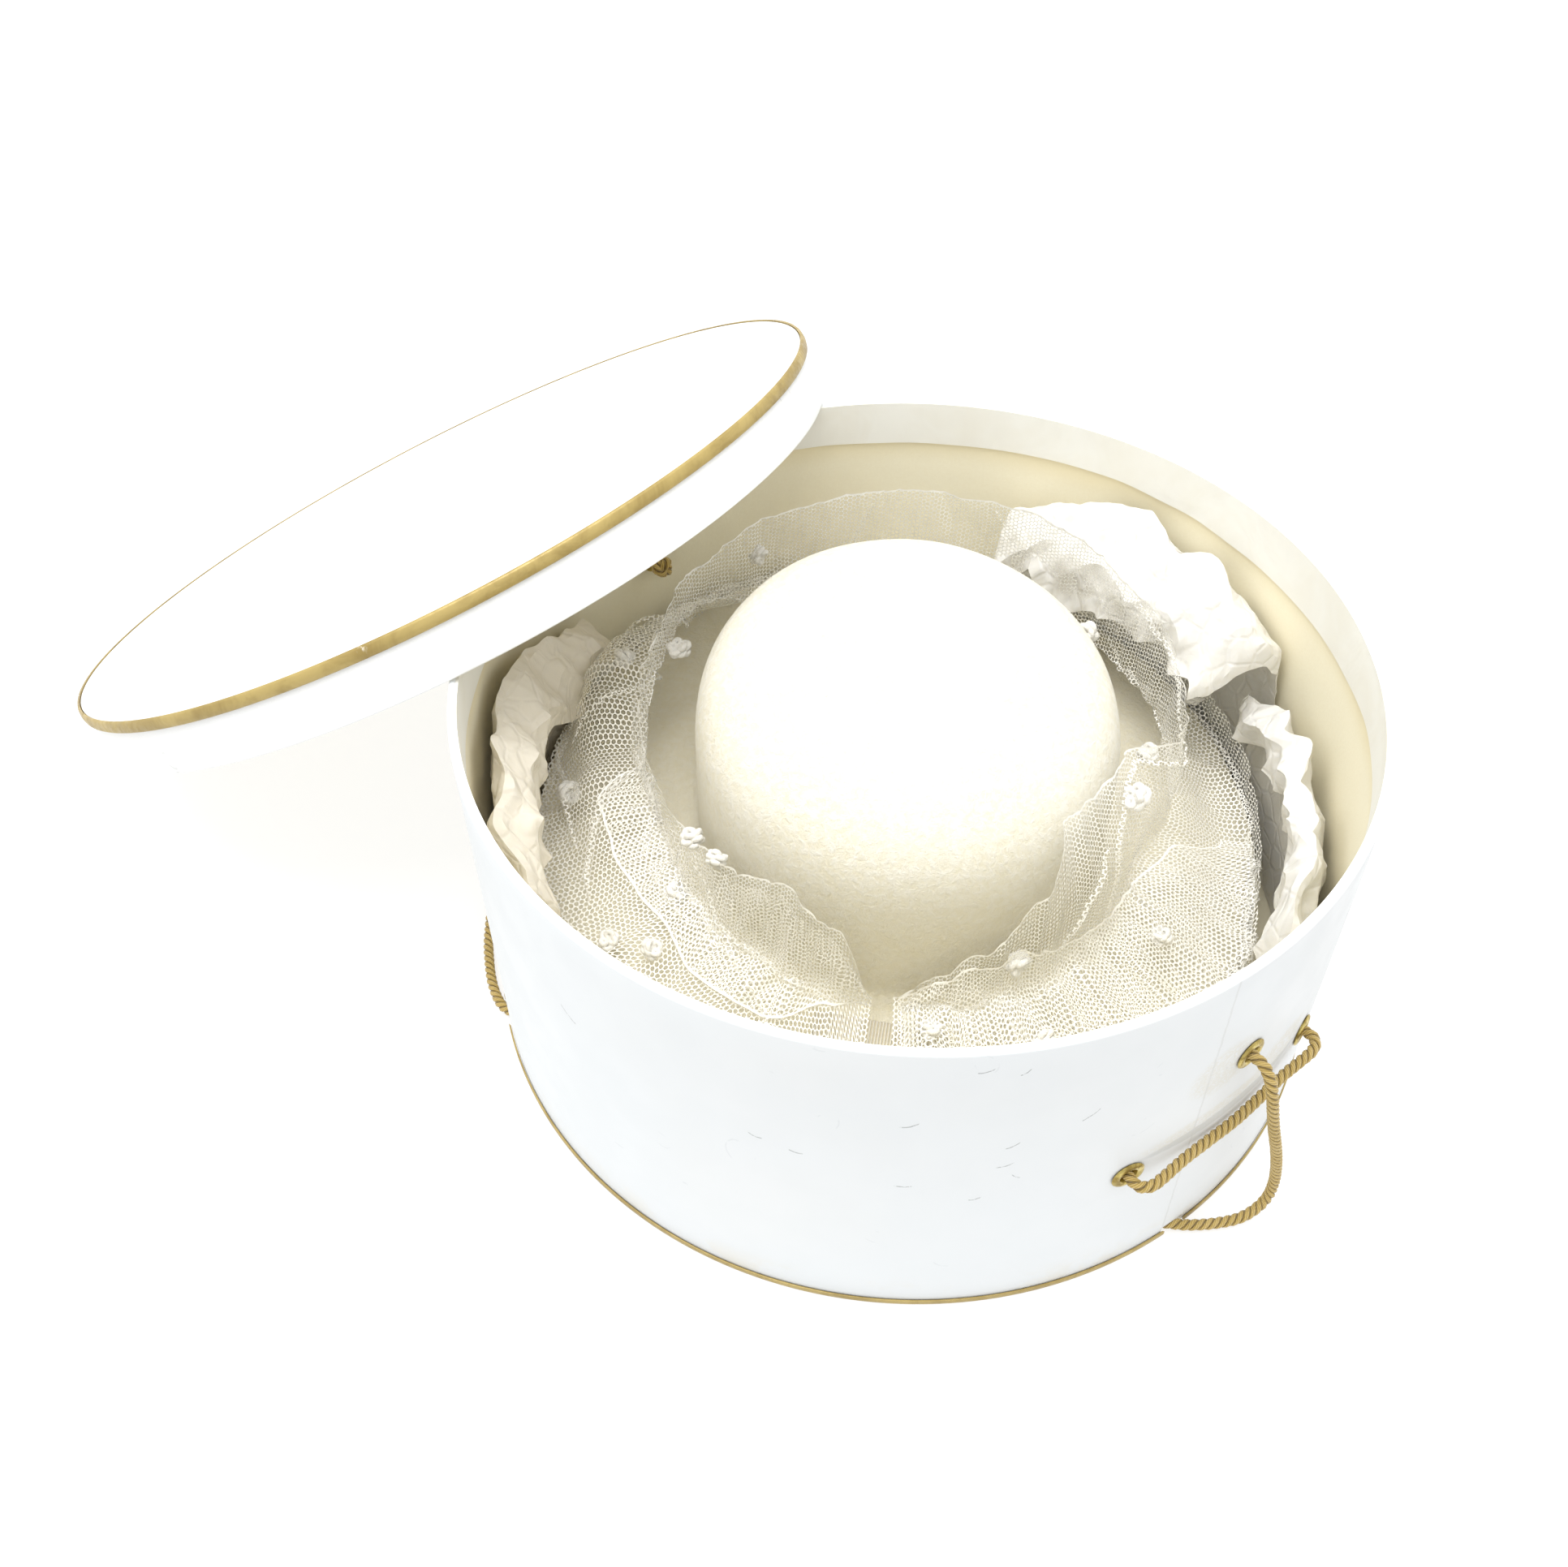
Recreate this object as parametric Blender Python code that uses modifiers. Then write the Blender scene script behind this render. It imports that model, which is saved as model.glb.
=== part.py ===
"""Veiled wool felt hat in its round hat box, with the loose lid leaning on the rim.

Metres, +Z up. The box stands on Z = 0 and the origin is under the middle of the whole group.
"""

import math

import bmesh
import bpy
from mathutils import Matrix, Vector, noise

# Hat, in its own frame: Z = 0 is the top of the brim's edge
BRIM_RADIUS = 0.159
CROWN_RADIUS = 0.0875
CROWN_OVAL = 0.02
CROWN_HEIGHT = 0.108
CROWN_WALL_HEIGHT = 0.054
CROWN_ROUNDNESS = 3.6
CROWN_LEAN_BACK = 0.0105
CROWN_LEAN_LEFT = 0.003
BRIM_RISE = 0.0095
BRIM_FILLET = 0.008
BRIM_WAVE = 0.0015
FELT = 0.0025
HAT_SHIFT = (-0.002, 0.0145)
HAT_LIFT = 0.054
HAT_TILT_BACK_DEG = 8.2
HAT_TILT_LEFT_DEG = 2.7
HAT_STEPS = 48

# Veil and ribbon
VEIL = 0.001
VEIL_STAND = 0.045
VEIL_REST = 0.0013
VEIL_FOLD = 0.0016
VEIL_FOLD_COUNT = 13
VEIL_STEPS = 50
VEIL_SPLIT_DEG = 263.0
VEIL_SPLIT_HALF_DEG = 2.5
VEIL_EDGE_INSET = 0.0015
VEIL_TO_WALL = 0.004
DOT_RADIUS = 0.0040
DOT_HEIGHT = 0.0055
DOT_GAP = 0.0008
RIBBON_WIDTH = 0.042
RIBBON_LENGTH = 0.040
RIBBON_TAIL_WIDTH = 0.011
RIBBON = 0.001
RIBBON_AZIMUTH_DEG = 260.0
RIBBON_START = 0.003

# Box, sized from the hat that it holds
GAP = 0.0003
BRIM_TO_WALL = 0.00386
HEADROOM = 0.007
BOARD = 0.0025
BOX_INNER = math.hypot(*HAT_SHIFT) + BRIM_RADIUS + BRIM_TO_WALL
BOX_RADIUS = BOX_INNER + BOARD
BOX_HEIGHT = HAT_LIFT + CROWN_HEIGHT + HEADROOM
BASE_TRIM_HEIGHT = 0.0028
BASE_TRIM = 0.0007
RIM_PAPER_DEPTH = 0.025
RIM_PAPER = 0.0008
RING_STEPS = 60

# Lid
LID_CLEARANCE = 0.0061
LID_DEPTH = 0.027
LID_TRIM_HEIGHT = 0.0052
LID_TRIM = 0.0017
LID_LEAN_DEG = 30.5
LID_AZIMUTH_DEG = 141.15

# Cord and eyelets
CORD_RADIUS = 0.00235
EYELET_HOLE = 0.0036
EYELET_BARREL = 0.0046
EYELET_FLANGE = 0.0068
EYELET_FLANGE_THICK = 0.0012
EYELET_BACK = 0.0056
EYELET_LIP = 0.0006
EYELET_EDGE = 0.0008
EYELET_FIT = 0.0005
EYELET_STEPS = 12
SWAG_AZIMUTH_DEG = -51.2
SWAG_SPREAD_DEG = 15.8
SWAG_HEIGHT = 0.0705
CARRY_AZIMUTH_DEG = -51.6
CARRY_BACK_AZIMUTH_DEG = 129.0
CARRY_HEIGHT = 0.1103
KNOT_RADIUS = 0.0052
SWAG_SPACING = 0.0070
CARRY_SPACING = 0.0140
CORD_SLOT = 2 * CORD_RADIUS + 0.0030
BASE_RECESS = 2 * CORD_RADIUS + 0.0009

# Packing paper
PAPER = 0.001
PAPER_REACH = 0.029
BED_INSET = 0.029
BED_RADIUS = BRIM_RADIUS - BED_INSET
BED_HALF_WIDTH = 0.018
CRUMPLE = 0.004

FLOOR = BASE_RECESS + BOARD
LID_OUTER = BOX_RADIUS + LID_CLEARANCE + BOARD
EYELET_DEPTH = BOARD + 2.5 * GAP + EYELET_LIP
KNOT_SEAT = BOX_RADIUS - EYELET_DEPTH - 2 * GAP - 2 * KNOT_RADIUS

# Each row is one fold of the veil round the crown. Azimuth is in the hat's frame, counted on from
# the right side of the front split. Heights are shares of the crown's height, stand is a share of
# VEIL_STAND off the crown, and reaches are shares of the brim's width.
VEIL_ROWS = (
    # azimuth, hem_height, stand, crest_reach, crest_height, outer_reach, outer_height
    (265.5, 0.22, 0.06, 0.30, 0.15, 1.00, 0.020),
    (272.0, 0.35, 0.05, 0.32, 0.17, 1.02, 0.010),
    (287.0, 0.50, 0.05, 0.34, 0.16, 1.04, 0.010),
    (298.0, 0.70, 0.06, 0.36, 0.15, 1.05, 0.020),
    (310.0, 0.88, 0.10, 0.36, 0.16, 1.05, 0.030),
    (335.0, 0.86, 0.30, 0.38, 0.20, 1.04, 0.080),
    (360.0, 0.74, 0.46, 0.44, 0.24, 1.01, 0.220),
    (390.0, 0.74, 0.62, 0.48, 0.26, 0.98, 0.260),
    (420.0, 0.78, 0.72, 0.46, 0.24, 0.97, 0.080),
    (450.0, 0.78, 0.68, 0.42, 0.20, 0.95, 0.030),
    (475.0, 0.70, 0.78, 0.46, 0.22, 0.95, 0.030),
    (495.0, 0.62, 0.74, 0.62, 0.34, 0.96, 0.060),
    (515.0, 0.66, 0.50, 0.74, 0.44, 0.98, 0.120),
    (535.0, 0.58, 0.42, 0.62, 0.28, 1.00, 0.060),
    (552.0, 0.44, 0.18, 0.50, 0.18, 1.01, 0.020),
    (562.0, 0.42, 0.06, 0.44, 0.16, 1.01, 0.015),
    (576.0, 0.56, 0.05, 0.38, 0.17, 1.01, 0.010),
    (598.0, 0.70, 0.05, 0.36, 0.17, 1.02, 0.010),
    (612.0, 0.60, 0.05, 0.34, 0.16, 1.02, 0.010),
    (620.5, 0.22, 0.06, 0.30, 0.15, 1.00, 0.020),
)

# Where the tufted dots sit on the veil: azimuth in the hat's frame, how far from hem to edge, and
# the net's upper side (1) or its under side, which faces the crown where the net stands (-1)
DOT_ROWS = (
    # azimuth, across, side
    (516.5, 0.45, 1),
    (513.0, 0.20, -1),
    (478.5, 0.20, 1),
    (563.5, 0.02, 1),
    (576.5, 0.02, 1),
    (567.5, 0.40, 1),
    (574.5, 0.58, 1),
    (537.5, 0.62, 1),
    (567.5, 0.66, 1),
    (329.5, 0.02, 1),
    (328.5, 0.55, 1),
    (294.5, 0.23, 1),
    (385.5, 0.87, 1),
    (401.5, 0.27, -1),
    (366.5, 0.30, -1),
    (295.5, 0.55, 1),
    (273.5, 0.48, 1),
)

# Each row is one fold line of a packing sheet, from its foot on the box floor to its free edge:
# distance in from the wall as a share of PAPER_REACH, and height as a share of the box's height
PAPER_LEFT = ((0.17, 0.0), (0.21, 0.24), (0.17, 0.46), (0.31, 0.60), (0.59, 0.67), (0.45, 0.60))
PAPER_BACK = ((0.10, 0.0), (0.07, 0.34), (0.07, 0.50), (0.24, 0.66), (0.69, 0.73), (1.00, 0.70))
PAPER_RIGHT = ((0.21, 0.0), (0.21, 0.22), (0.21, 0.40), (0.24, 0.52), (0.41, 0.60), (0.31, 0.54))

# The last fold line that stands between the brim and the wall; those after it lean in over the brim
FREE_FOLD_INDEX = 2

# Routes of the two cords round the box's axis, through their own points
SWAG_ROUTE = (
    # azimuth, radius, height
    (-67.0, 0.1764, 0.0705),
    (-67.0, 0.1832, 0.0705),
    (-66.5, 0.1866, 0.0704),
    (-65.2, 0.1878, 0.0702),
    (-63.4, 0.1866, 0.0698),
    (-60.0, 0.1842, 0.0694),
    (-56.0, 0.1831, 0.0690),
    (-51.2, 0.1830, 0.0687),
    (-46.4, 0.1831, 0.0688),
    (-42.4, 0.1842, 0.0692),
    (-39.0, 0.1866, 0.0698),
    (-37.2, 0.1878, 0.0702),
    (-35.9, 0.1866, 0.0704),
    (-35.4, 0.1832, 0.0705),
    (-35.4, 0.1764, 0.0705),
)
CARRY_ROUTE = (
    # x, y, z
    (0.1096, -0.1382, 0.1103),
    (0.1128, -0.1423, 0.1102),
    (0.1162, -0.1462, 0.1092),
    (0.1188, -0.1494, 0.1040),
    (0.1208, -0.1508, 0.0960),
    (0.1258, -0.1496, 0.0750),
    (0.1322, -0.1462, 0.0520),
    (0.1368, -0.1430, 0.0330),
    (0.1392, -0.1412, 0.0180),
    (0.1385, -0.1418, 0.0085),
    (0.1340, -0.1446, 0.0040),
    (0.1258, -0.1482, 0.0028),
    (0.1130, -0.1502, 0.0027),
    (0.1010, -0.1498, 0.0027),
    (0.0880, -0.1462, 0.0027),
    (0.0450, -0.1300, 0.0027),
    (-0.0600, -0.0880, 0.0027),
    (-0.1500, -0.0530, 0.0027),
    (-0.1690, -0.0446, 0.0027),
    (-0.1777, -0.0395, 0.0027),
    (-0.1828, -0.0300, 0.0027),
    (-0.1862, -0.0170, 0.0027),
    (-0.1886, 0.0020, 0.0027),
    (-0.1880, 0.0300, 0.0027),
    (-0.1800, 0.0620, 0.0027),
    (-0.1670, 0.0930, 0.0027),
    (-0.1500, 0.1200, 0.0027),
    (-0.1370, 0.1360, 0.0034),
    (-0.1292, 0.1446, 0.0100),
    (-0.1252, 0.1490, 0.0250),
    (-0.1226, 0.1508, 0.0550),
    (-0.1212, 0.1498, 0.0850),
    (-0.1200, 0.1482, 0.1020),
    (-0.1177, 0.1454, 0.1092),
    (-0.1143, 0.1411, 0.1102),
    (-0.1110, 0.1371, 0.1103),
)
# The points of that route that lie in the wall
CARRY_FRONT_INDEX = 13
CARRY_LEFT_INDEX = 19


def clear_scene():
    for item in list(bpy.data.objects):
        bpy.data.objects.remove(item, do_unlink=True)


def new_collection(name):
    made = bpy.data.collections.new(name)
    bpy.context.scene.collection.children.link(made)
    return made


def material(name, colour, roughness, metallic=0.0):
    made = bpy.data.materials.new(name)
    made.use_nodes = True
    shader = made.node_tree.nodes["Principled BSDF"]
    shader.inputs["Base Color"].default_value = (*colour, 1.0)
    shader.inputs["Roughness"].default_value = roughness
    shader.inputs["Metallic"].default_value = metallic
    return made


def polar(azimuth_deg, radius, height):
    turn = math.radians(azimuth_deg)
    return Vector((radius * math.cos(turn), radius * math.sin(turn), height))


def add_object(name, data, finish, collection):
    made = bpy.data.objects.new(name, data)
    data.materials.clear()
    data.materials.append(finish)
    collection.objects.link(made)
    return made


def turned(name, profile, finish, collection, steps, closed=True):
    """A profile of (radius, height) points, outer side top to bottom, turned about Z."""
    mesh = bpy.data.meshes.new(name)
    count = len(profile)
    edges = [(i, i + 1) for i in range(count - 1)]
    if closed:
        edges.append((count - 1, 0))
    mesh.from_pydata([(r, 0.0, z) for r, z in profile], edges, [])
    made = add_object(name, mesh, finish, collection)
    screw = made.modifiers.new("Turn", "SCREW")
    screw.axis = "Z"
    screw.angle = 2 * math.pi
    screw.steps = steps
    screw.render_steps = steps
    screw.use_merge_vertices = True
    screw.merge_threshold = 0.00001
    return made


def ring(name, inner, outer, low, high, finish, collection):
    profile = ((outer, high), (outer, low), (inner, low), (inner, high))
    return turned(name, profile, finish, collection, RING_STEPS)


def disc(name, radius, low, high, finish, collection):
    profile = ((0.0, high), (radius, high), (radius, low), (0.0, low))
    return turned(name, profile, finish, collection, RING_STEPS, closed=False)


def drum(name, radius, height, place, finish, collection):
    """A short eight-sided solid that stands on its place's XY plane."""
    shape = bmesh.new()
    stand = Matrix.Translation((0.0, 0.0, height / 2))
    bmesh.ops.create_cone(
        shape, cap_ends=True, segments=8, radius1=radius, radius2=radius, depth=height, matrix=stand
    )
    mesh = bpy.data.meshes.new(name)
    shape.to_mesh(mesh)
    shape.free()
    made = add_object(name, mesh, finish, collection)
    made.matrix_world = place
    return made


def baked_mesh(source, name):
    """The evaluated mesh of an object, which is then removed."""
    bpy.context.view_layer.update()
    graph = bpy.context.evaluated_depsgraph_get()
    mesh = bpy.data.meshes.new_from_object(source.evaluated_get(graph))
    mesh.name = name
    bpy.data.objects.remove(source, do_unlink=True)
    return mesh


def lofted(name, rows, finish, collection, wrap_rows=False, wrap_columns=False):
    """Quads through rows of points. Each row is one section."""
    shape = bmesh.new()
    grid = [[shape.verts.new(point) for point in row] for row in rows]
    row_count, column_count = len(grid), len(grid[0])
    for i in range(row_count if wrap_rows else row_count - 1):
        for j in range(column_count if wrap_columns else column_count - 1):
            a, b = grid[i], grid[(i + 1) % row_count]
            k = (j + 1) % column_count
            shape.faces.new((a[j], b[j], b[k], a[k]))
    bmesh.ops.recalc_face_normals(shape, faces=shape.faces)
    mesh = bpy.data.meshes.new(name)
    shape.to_mesh(mesh)
    shape.free()
    made = add_object(name, mesh, finish, collection)
    mesh.shade_smooth()
    return made


def give_wall(sheet, thickness, offset=0.0, even=True):
    wall = sheet.modifiers.new("Wall", "SOLIDIFY")
    wall.thickness = thickness
    wall.offset = offset
    wall.use_even_offset = even
    return sheet


def cut(target, cutters):
    for cutter in cutters:
        hole = target.modifiers.new("Cut " + cutter.name, "BOOLEAN")
        hole.operation = "DIFFERENCE"
        hole.object = cutter


def hide_cutter(cutter):
    cutter.hide_render = True
    cutter.display_type = "WIRE"
    return cutter


# Hat


def hat_matrix():
    """From the hat's own frame to the box: raised, shifted and tipped as it lies."""
    tilt = Matrix.Rotation(math.radians(HAT_TILT_BACK_DEG), 4, "X")
    lean = Matrix.Rotation(math.radians(HAT_TILT_LEFT_DEG), 4, "Y")
    return Matrix.Translation((*HAT_SHIFT, HAT_LIFT)) @ lean @ tilt


def crown_radius(height):
    """Radius of the crown's outside at a height, before the oval."""
    rise = (height - CROWN_WALL_HEIGHT) / (CROWN_HEIGHT - CROWN_WALL_HEIGHT)
    if rise <= 0:
        return CROWN_RADIUS
    return CROWN_RADIUS * (1 - min(rise, 1.0) ** CROWN_ROUNDNESS) ** (1 / CROWN_ROUNDNESS)


def brim_top(radius):
    """Height of the brim's upper side at a radius outside the fillet."""
    start = CROWN_RADIUS + BRIM_FILLET
    share = max(0.0, (radius - start) / (BRIM_RADIUS - start))
    return BRIM_RISE * max(0.0, 1 - share) ** 1.25


def brim_wave(radius, azimuth):
    share = max(0.0, (radius - CROWN_RADIUS) / (BRIM_RADIUS - CROWN_RADIUS))
    return BRIM_WAVE * share * math.sin(2 * azimuth + 0.6)


def crown_share(radius):
    """1 on the crown and 0 at the brim's edge."""
    return max(0.0, min(1.0, (BRIM_RADIUS - radius) / (BRIM_RADIUS - CROWN_RADIUS)))


def leaned(point, radius):
    """The same point, as the crown and the net against it lean back and left over the brim."""
    rise = max(0.0, point.z - BRIM_RISE) / (CROWN_HEIGHT - BRIM_RISE)
    share = crown_share(radius) * rise
    return point + Vector((-CROWN_LEAN_LEFT * share, CROWN_LEAN_BACK * share, 0.0))


def felt_profile():
    power = 2 / CROWN_ROUNDNESS
    rise = CROWN_HEIGHT - CROWN_WALL_HEIGHT
    dome_points = 9
    profile = []
    for i in range(dome_points):
        turn = math.radians(90) * (1 - i / (dome_points - 1))
        radius = CROWN_RADIUS * max(0.0, math.cos(turn)) ** power if i else 0.0
        profile.append((radius, CROWN_WALL_HEIGHT + rise * math.sin(turn) ** power))
    foot = BRIM_RISE + BRIM_FILLET
    profile.append((CROWN_RADIUS, foot))
    fillet_points = 3
    for i in range(1, fillet_points + 1):
        turn = math.radians(90) * i / fillet_points
        radius = CROWN_RADIUS + BRIM_FILLET * (1 - math.cos(turn))
        profile.append((radius, foot - BRIM_FILLET * math.sin(turn)))
    start = CROWN_RADIUS + BRIM_FILLET
    for share in (0.35, 0.7, 1.0):
        radius = start + share * (BRIM_RADIUS - start)
        profile.append((radius, brim_top(radius)))
    return profile


def build_felt(finish, collection):
    surface = turned("felt_surface", felt_profile(), finish, collection, HAT_STEPS, closed=False)
    mesh = baked_mesh(surface, "felt_hat")
    place = hat_matrix()
    for vertex in mesh.vertices:
        x, y, z = vertex.co
        radius = math.hypot(x, y)
        oval = 1 + CROWN_OVAL * crown_share(radius)
        vertex.co = leaned(Vector((x, y * oval, z + brim_wave(radius, math.atan2(y, x)))), radius)
    hat = add_object("felt_hat", mesh, finish, collection)
    hat.matrix_world = place
    mesh.shade_smooth()
    return give_wall(hat, FELT, offset=-1.0)


# Veil


def eased_row(table, azimuth):
    """The table's row at an azimuth, eased between its neighbours."""
    for first, second in zip(table, table[1:]):
        if azimuth <= second[0]:
            share = max(0.0, (azimuth - first[0]) / (second[0] - first[0]))
            ease = share * share * (3 - 2 * share)
            return [a + (b - a) * ease for a, b in zip(first, second)]
    return list(table[-1])


def veil_section(azimuth):
    """Points of (radius, height) from the veil's inner hem to its outer edge, in the hat's frame."""
    row = eased_row(VEIL_ROWS, azimuth)
    hem_height, stand, crest_reach, crest_height, outer_reach, outer_height = row[1:]
    width = BRIM_RADIUS - CROWN_RADIUS
    oval = 1 + CROWN_OVAL * abs(math.sin(math.radians(azimuth)))
    off = VEIL_REST + VEIL_STAND * stand
    hem = hem_height * CROWN_HEIGHT
    crest = crest_height * CROWN_HEIGHT
    crest_radius = CROWN_RADIUS + crest_reach * width
    outer_radius = CROWN_RADIUS + outer_reach * width
    middle = 0.5 * (hem + crest) + 0.1 * (hem - crest)
    foot_off = max(off, 0.35 * (crest_radius - CROWN_RADIUS))
    rest_radius = 0.5 * (crest_radius + BRIM_RADIUS)
    rest_height = brim_top(rest_radius) + VEIL_REST + 0.22 * crest
    edge_radius = BRIM_RADIUS - VEIL_EDGE_INSET
    edge_height = VEIL_REST + 0.35 * outer_height * CROWN_HEIGHT
    section = [
        (crown_radius(hem) * oval + off, hem),
        (max(crown_radius(middle) * oval, crown_radius(hem) * oval) + 0.7 * off + 0.3 * foot_off, middle),
        (CROWN_RADIUS * oval + foot_off, 0.75 * crest + 0.25 * middle),
        (crest_radius, crest),
        (rest_radius, rest_height),
        (edge_radius, edge_height),
        (outer_radius, outer_height * CROWN_HEIGHT + VEIL_REST),
    ]
    return section


def veil_point(azimuth, section, column):
    """A point of the section in the hat's frame, with the gathers that run from hem to edge."""
    radius, height = section[column]
    turn = math.radians(azimuth)
    gather = (0.4, 0.8, 1.0, 1.0, 0.5, 0.3, 0.8)[column]
    phase = math.sin(VEIL_FOLD_COUNT * turn + 0.5 * column)
    height += VEIL_FOLD * gather * (1 + phase) + brim_wave(radius, turn)
    return leaned(Vector((radius * math.cos(turn), radius * math.sin(turn), height)), radius)


def in_box(point, clearance):
    """The same point, drawn in to keep a clearance off the box's wall."""
    reach = math.hypot(point.x, point.y)
    limit = BOX_INNER - clearance
    if reach <= limit:
        return point
    return Vector((point.x * limit / reach, point.y * limit / reach, point.z))


def veil_rows(steps):
    start = VEIL_SPLIT_DEG + VEIL_SPLIT_HALF_DEG
    span = 360 - 2 * VEIL_SPLIT_HALF_DEG
    place = hat_matrix()
    rows = []
    for i in range(steps + 1):
        azimuth = start + span * i / steps
        section = veil_section(azimuth)
        points = [place @ veil_point(azimuth, section, j) for j in range(len(section))]
        rows.append([in_box(point, VEIL_TO_WALL) for point in points])
    return rows


def build_veil(finish, collection):
    veil = lofted("veil_net", veil_rows(VEIL_STEPS), finish, collection)
    return give_wall(veil, VEIL)


def veil_place(azimuth, across, side):
    """A frame on the built net, its Z straight out of the side that is asked for."""
    rows = veil_rows(VEIL_STEPS)
    start = VEIL_SPLIT_DEG + VEIL_SPLIT_HALF_DEG
    step = (azimuth - start) * VEIL_STEPS / (360 - 2 * VEIL_SPLIT_HALF_DEG)
    column = across * (len(rows[0]) - 1)
    i, j = int(step), int(column)
    first = rows[i][j].lerp(rows[i][j + 1], column - j)
    second = rows[i + 1][j].lerp(rows[i + 1][j + 1], column - j)
    along = rows[i][j + 1] - rows[i][j]
    normal = side * along.cross(second - first).normalized()
    spot = first.lerp(second, step - i) + normal * (VEIL / 2 + DOT_GAP)
    return Matrix.Translation(spot) @ normal.to_track_quat("Z", "Y").to_matrix().to_4x4()


def build_dots(finish, collection):
    for index, row in enumerate(DOT_ROWS, start=1):
        name = f"veil_dot_{index:02d}"
        drum(name, DOT_RADIUS, DOT_HEIGHT, veil_place(*row), finish, collection)


# Ribbon


def build_ribbon(name, width, sideways, finish, collection):
    """A ribbon end that follows the brim outwards from under the crown."""
    place = hat_matrix()
    turn = math.radians(RIBBON_AZIMUTH_DEG)
    out = Vector((math.cos(turn), math.sin(turn), 0.0))
    side = Vector((-math.sin(turn), math.cos(turn), 0.0))
    start = CROWN_RADIUS + BRIM_FILLET + RIBBON_START
    along_steps, side_steps = 6, 4
    rows = []
    for i in range(along_steps + 1):
        row = []
        for j in range(side_steps + 1):
            flat = out * (start + RIBBON_LENGTH * i / along_steps)
            flat += side * (sideways + width * (j / side_steps - 0.5))
            radius = flat.length
            height = brim_top(radius) + brim_wave(radius, math.atan2(flat.y, flat.x))
            row.append(place @ (flat + Vector((0.0, 0.0, height + RIBBON / 2 + 2 * GAP))))
        rows.append(row)
    return give_wall(lofted(name, rows, finish, collection), RIBBON)


# Box


def build_cutters(collection):
    """Holes for the eyelets, and the two slots where the carrying cord runs under the wall."""
    holes = []
    for name, azimuth, height in eyelet_places():
        radius = EYELET_BARREL + EYELET_FIT
        bpy.ops.mesh.primitive_cylinder_add(vertices=16, radius=radius, depth=6 * BOARD)
        hole = bpy.context.object
        hole.name = "hole_" + name
        hole.matrix_world = radial_matrix(azimuth, BOX_RADIUS - BOARD / 2, height)
        holes.append(hole)
    slots = []
    for name, index in (("front", CARRY_FRONT_INDEX), ("left", CARRY_LEFT_INDEX)):
        middle = Vector(CARRY_ROUTE[index])
        course = Vector(CARRY_ROUTE[index + 1]) - Vector(CARRY_ROUTE[index - 1])
        turn = math.atan2(course.y, course.x)
        bpy.ops.mesh.primitive_cube_add(size=1)
        slot = bpy.context.object
        slot.name = "slot_" + name
        depth = BASE_RECESS - 2 * GAP
        slot.matrix_world = (
            Matrix.Translation((middle.x, middle.y, 0.0))
            @ Matrix.Rotation(turn, 4, "Z")
            @ Matrix.Diagonal((12 * BOARD, CORD_SLOT, 2 * depth, 1.0))
        )
        slots.append(slot)
    halves = [half_cutter(name, slots[0], slots[1], side) for name, side in (("front", 1), ("rear", -1))]
    for cutter in holes + slots + halves:
        for owner in list(cutter.users_collection):
            owner.objects.unlink(cutter)
        collection.objects.link(cutter)
        hide_cutter(cutter)
    return holes, slots, halves


def half_cutter(name, first, second, side):
    """A block over all that lies on one side of the line between two slots."""
    start, end = first.matrix_world.translation, second.matrix_world.translation
    course = end - start
    turn = math.atan2(course.y, course.x)
    bpy.ops.mesh.primitive_cube_add(size=1)
    half = bpy.context.object
    half.name = "half_" + name
    size = 3 * BOX_RADIUS
    half.matrix_world = (
        Matrix.Translation(start.lerp(end, 0.5))
        @ Matrix.Rotation(turn, 4, "Z")
        @ Matrix.Translation((0.0, side * size / 2, 0.0))
        @ Matrix.Diagonal((size, size, 8 * BASE_TRIM_HEIGHT, 1.0))
    )
    return half


def radial_matrix(azimuth_deg, radius, height):
    """Local Z points out of the box's wall."""
    turn = Matrix.Rotation(math.radians(azimuth_deg), 4, "Z")
    lay = Matrix.Rotation(math.radians(90), 4, "Y")
    return Matrix.Translation(polar(azimuth_deg, radius, height)) @ turn @ lay


def eyelet_places():
    return (
        ("eyelet_left", SWAG_AZIMUTH_DEG - SWAG_SPREAD_DEG, SWAG_HEIGHT),
        ("eyelet_right", SWAG_AZIMUTH_DEG + SWAG_SPREAD_DEG, SWAG_HEIGHT),
        ("eyelet_carry", CARRY_AZIMUTH_DEG, CARRY_HEIGHT),
        ("eyelet_back", CARRY_BACK_AZIMUTH_DEG, CARRY_HEIGHT),
    )


def build_box(finishes, collection, holes, slots, halves):
    wall = ring("box_wall", BOX_INNER, BOX_RADIUS, 0.0, BOX_HEIGHT, finishes["paper"], collection)
    cut(wall, holes + slots)
    disc("box_base", BOX_INNER - GAP, BASE_RECESS, FLOOR, finishes["board"], collection)
    trim_inner = BOX_RADIUS + GAP
    trim_outer = trim_inner + BASE_TRIM
    gold = finishes["gold_paper"]
    for name, half in zip(("base_trim_rear", "base_trim_front"), halves):
        trim = ring(name, trim_inner, trim_outer, GAP, BASE_TRIM_HEIGHT, gold, collection)
        cut(trim, slots + [half])
    paper_outer = BOX_INNER - GAP
    ring(
        "rim_paper",
        paper_outer - RIM_PAPER,
        paper_outer,
        BOX_HEIGHT - RIM_PAPER_DEPTH,
        BOX_HEIGHT,
        finishes["paper"],
        collection,
    )


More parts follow.
